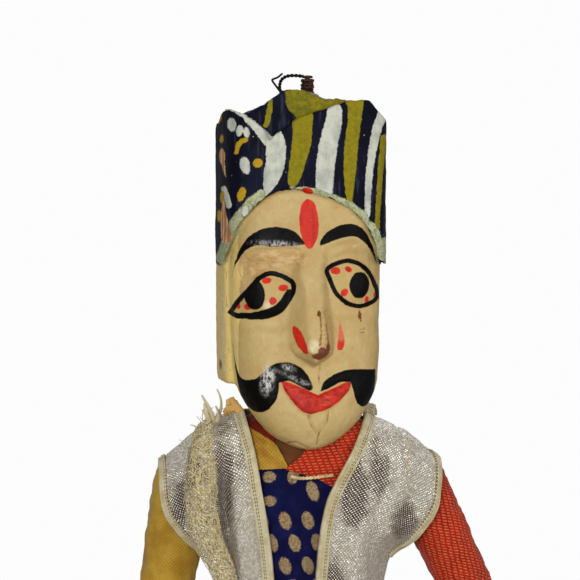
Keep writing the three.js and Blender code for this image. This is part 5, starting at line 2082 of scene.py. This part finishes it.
def make_hand_loop(side, thread):
    turn = np.linspace(0, 2 * np.pi, 30)
    over, up = HAND_LOOP * np.cos(turn), HAND_LOOP * np.sin(turn)
    local = np.column_stack([11.2 + over, 0 * turn, WRIST - 13 + up])
    loop = twisted(f"hand_loop_{side}", on_arm(side, local), 0.22, 2, 1.7, thread, up=(0, 1, 0.001))
    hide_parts(f"hand_string_loop_{side}")
    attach(loop, f"hand_{side}")


def painted_hand():
    f = Finish("hand_wood")
    patchy, fine = f.noise(5, 4), f.noise(0.8, 4, 0.65)
    grain = f.noise(1.6, 3, 0.6, f.stretched(1, 1, 0.15))
    skin = f.layers(
        (194, 168, 112),
        (f.step(patchy, 0.35, 0.65), (176, 146, 92)),
        (f.step(grain, 0.6, 0.75, 0, 0.5), (150, 114, 68)),
        (f.step(f.number("cuts"), 0.85, 0.2), (120, 70, 40)),
    )
    height = f.plus(f.times(grain, 0.8), fine)
    f.feed(f.shader.inputs["Specular IOR Level"], 0.3)
    return f.finish(skin, f.step(patchy, 0.3, 0.7, 0.46, 0.6), height, 0.1)


def make_arms(finishes, braid, thread):
    paint = painted_hand()
    for side in ("right", "left"):
        make_sleeve(side, finishes["yellow_sleeve" if side == "right" else "red_sleeve"])
        make_elbow_stitches(side, thread)
        make_cuff(side, braid)
        make_hand(side, paint)
        make_hand_loop(side, thread)


# ---- sash and skirt -----------------------------------------------------------------------------

# The skirt's half widths, across and deep, by height.
SKIRT = [
    (-253.2, 27.9, 27.9),
    (-258.6, 29.9, 29.9),
    (-265, 30.8, 30.8),
    (-271.4, 30.4, 30.4),
    (-277.5, 29.0, 29.0),
    (-290, 34.8, 32.8),
    (-315, 46.8, 38.8),
    (-360, 60.8, 48.8),
    (-430, 76.8, 59.8),
    (-500, 91.8, 69.8),
    (-560, 104.8, 78.8),
]
GORES = 8
SKIRT_ROWS, WAIST_ROWS, GORE_COLUMNS = 130, 33, 40
SKIRT_TOP, GATHERS_FOOT, HEM = -253.2, -290, -560


def skirt_point(angle, z, proud=0.0):
    """The skirt's surface: soft folds that open towards the hem, and small gathers under the sash."""
    table = np.array(SKIRT)[::-1]
    half, deep = (np.interp(z, table[:, 0], table[:, k]) for k in (1, 2))
    share = smoothstep(-290, -540, z)
    wave = np.cos(16 * (angle - math.pi / 8) + 0.9 * np.sin(z / 70)) + 0.45 * np.cos(7 * angle + z / 55)
    small = 0.4 * np.cos(72 * angle + 1.5 * np.sin(z / 11)) * smoothstep(-360, -300, z)
    lift = proud + 5.2 * share * (wave - 0.3 * wave**2) + small * smoothstep(-252, -262, z)
    return np.stack([np.cos(angle) * (half + lift), np.sin(angle) * (deep + lift), z + 0 * angle], axis=-1)


def make_skirt(finishes, braid):
    gathered = np.linspace(SKIRT_TOP, GATHERS_FOOT, WAIST_ROWS + 1)[:-1]
    z = np.concatenate([gathered, np.linspace(GATHERS_FOOT, HEM, SKIRT_ROWS - WAIST_ROWS)])[:, None]
    turn = 2 * math.pi / GORES
    tones = ("red", "yellow", "navy", "red")
    for k in range(GORES):
        low = -math.pi / 2 - turn / 2 + turn * k
        share = np.linspace(0, 1, GORE_COLUMNS)
        angle = low + turn * (-0.01 + 1.02 * share)[None, :] + 0 * z
        tuck = 0.6 * np.exp(-GORE_COLUMNS * (1 - share)) - 0.9 * np.exp(-GORE_COLUMNS * share / 1.6)
        grid = skirt_point(angle, z + 0 * angle, tuck[None, :])
        grid[..., 2] = z
        tone = tones[k % 4]
        gore = cloth(f"gore_{k + 1}", grid, finishes[tone + ("_skirt" if tone == "red" else "")], 0.9)
        if tone == "navy":
            _, y, height = points_of(gore).T
            drawing = Sheet(np.column_stack([y * (1 if k < 4 else -1), height]))
            place = lambda column, row: (13 * column + 6.5 * (row % 2), -268 - 11 * row)
            set_number(gore, "leaf", union(*leaf_rows(drawing, range(-4, 5), 26, place, (5.2, 8.4, 16))))
        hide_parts(f"skirt_gore_{k + 1}")
        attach(gore, "skirt")
    angle = np.linspace(0, 2 * np.pi, 720, endpoint=False)[None, :]
    height = np.linspace(-547.6, -559.4, 9)[:, None]
    grid = skirt_point(angle + 0 * height, height + 0 * angle, 1.5)
    band = cloth("hem_band", grid, braid, 1.1, wrap=True)
    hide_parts("skirt_hem_braid")
    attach(band, "skirt")


DRAWCORD = 28.7  # the radius of its ring
SASH_LOBES = [  # each loop of the bow: its path, its radius and how far it swells
    (
        "lobe_over",
        [
            (7.6, -34.8, -262), (10.5, -38.6, -260.6), (14.2, -40.6, -262.6), (18.2, -38.6, -265.4),
            (20.4, -34.6, -266),
        ],
        2.7, 1.25,
    ),
    (
        "lobe_under",
        [
            (14.6, -35.2, -257.8), (16.6, -38.6, -259.6), (14.0, -40.0, -263.4), (11.4, -38.2, -266.8),
            (12.2, -34.8, -268.4),
        ],
        2.4, 1.2,
    ),
]
SASH_ENDS = [  # each hanging end: its path, and its section as (across, out)
    (
        "end_one",
        [(12.6, -38.4, -266.0), (11.6, -40.0, -270), (10.4, -40.4, -276), (10.8, -40.6, -283)],
        [(-3.4, -0.5), (-1, 0.2), (1.2, -0.3), (3.4, 0.4), (3.2, 1.1), (0.8, 0.5), (-1.2, 1.0), (-3.4, 0.4)],
    ),
    (
        "end_two",
        [(15.6, -38.4, -265.4), (17.4, -40.2, -270), (18.8, -40.4, -275), (19.0, -40.2, -280)],
        [(-3, -0.5), (-0.8, 0.3), (1.2, -0.3), (3, 0.4), (2.8, 1.1), (0.8, 0.5), (-1.2, 1.1), (-3, 0.4)],
    ),
]


def make_sash(finish, thread):
    polar = np.radians(np.linspace(60.5, 92.5, 46))[:, None]
    angle = np.linspace(0, 2 * np.pi, 260, endpoint=False)[None, :]
    roll = np.abs(np.sin(3.0 * np.pi * (polar - polar[0]) / (polar[-1] - polar[0]) + 0.5 * np.sin(2 * angle)))
    reach = 34.0 + 1.15 * roll + 0.3 * np.sin(23 * angle + 6 * polar)
    grid = np.stack([reach * np.sin(polar) * np.cos(angle), reach * np.sin(polar) * np.sin(angle),
                     WAIST + reach * np.cos(polar)], axis=-1)
    sash = cloth("sash", grid, finish, 0.7, wrap=True)
    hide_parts("waist_sash")
    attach(sash, "trunk")
    parts = []
    for name, line, size, swell in SASH_LOBES:
        scale = np.interp(np.linspace(0, 1, 30), [0, 0.5, 1], [0.9, swell, 0.9])
        parts.append(swept(name, through(line, 30), circle(size, 20, 0.8), up=(0, -1, 0.2), scale=scale))
    for name, line, section in SASH_ENDS:
        parts.append(swept(name, through(line, 24), section, up=(0, -1, 0.1)))
    knot = join("sash_bow", parts)
    place = points_of(knot)
    set_number(knot, "across", place[:, 0])
    set_number(knot, "along", place[:, 2])
    smooth_shaded(knot)
    knot.data.materials.append(finish)
    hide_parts("sash_knot")
    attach(knot, "trunk")
    turn = np.linspace(0, 2 * np.pi, 220)
    cord = np.column_stack([DRAWCORD * np.cos(turn), DRAWCORD * np.sin(turn), np.full(220, -251.2)])
    drawcord = twisted("drawcord", cord, 0.24, 2, 2.4, thread, up=(0, 0, 1))
    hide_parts("skirt_drawcord")
    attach(drawcord, "skirt_waist")


def make_finishes():
    red, red_dirt = (178, 36, 18), (96, 28, 18)
    brown = (104, 72, 32)
    return {
        "yellow": cotton("yellow_cotton", (188, 148, 58), (158, 114, 38), 0.8, dirt=brown),
        "yellow_sleeve": cotton("yellow_sleeve", (190, 152, 58), (168, 126, 42), 0.8, dirt=brown),
        "red": cotton("red_cotton", red, (150, 28, 16), 0.8, hatch=(200, 118, 66), dirt=red_dirt, lean=0.66),
        "red_sleeve": cotton("red_sleeve", red, (158, 30, 18), 0.8, hatch=(204, 126, 74), dirt=red_dirt),
        "red_skirt": cotton("red_skirt", (160, 30, 20), (136, 24, 18), 0.8, dirt=(84, 24, 18)),
        # red cloth darkened as painted shade, for the strip under the jaw
        "red_in_shade": cotton("red_lining_in_shade", (130, 36, 22), (100, 28, 18), 0.8, dirt=(70, 24, 16)),
        "brown": cotton("brown_lining", (110, 70, 36), (86, 54, 28), 0.6, dirt=(60, 38, 20)),
        "navy": brocade(),
        "calico": cotton("calico", (188, 174, 140), (168, 150, 114), 0.7),
        "torn_net": cotton("torn_net", (216, 206, 170), (190, 174, 132), 0.6, dirt=(132, 108, 64)),
    }


def main():
    make_camera()
    make_studio()
    head = carve_head()
    sculpt_head(head)
    paint_head(head)
    head.data.materials.append(painted_wood())
    smooth_shaded(head)
    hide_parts("carved_head")
    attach(head, "trunk")
    make_hanger()
    finishes = make_finishes()
    braid = braid_finish()
    thread = thread_finish("cream_thread", (224, 204, 150), (184, 156, 100))
    make_body(finishes["calico"], finishes["navy"])
    make_robe(finishes)
    silver = lame()
    make_waistcoat(silver, braid, thread)
    net = thread_finish("gold_net", (230, 216, 168), (148, 126, 76), 0.5)
    make_scarf(net, silver)
    make_threads(thread)
    orange = cotton("orange_cotton", (220, 182, 112), (196, 140, 72), 0.7, dirt=(130, 80, 36))
    make_neck_knot(orange, finishes["torn_net"])
    make_arms(finishes, braid, thread)
    make_sash(finishes["red_skirt"], thread)
    make_skirt(finishes, braid)


main()
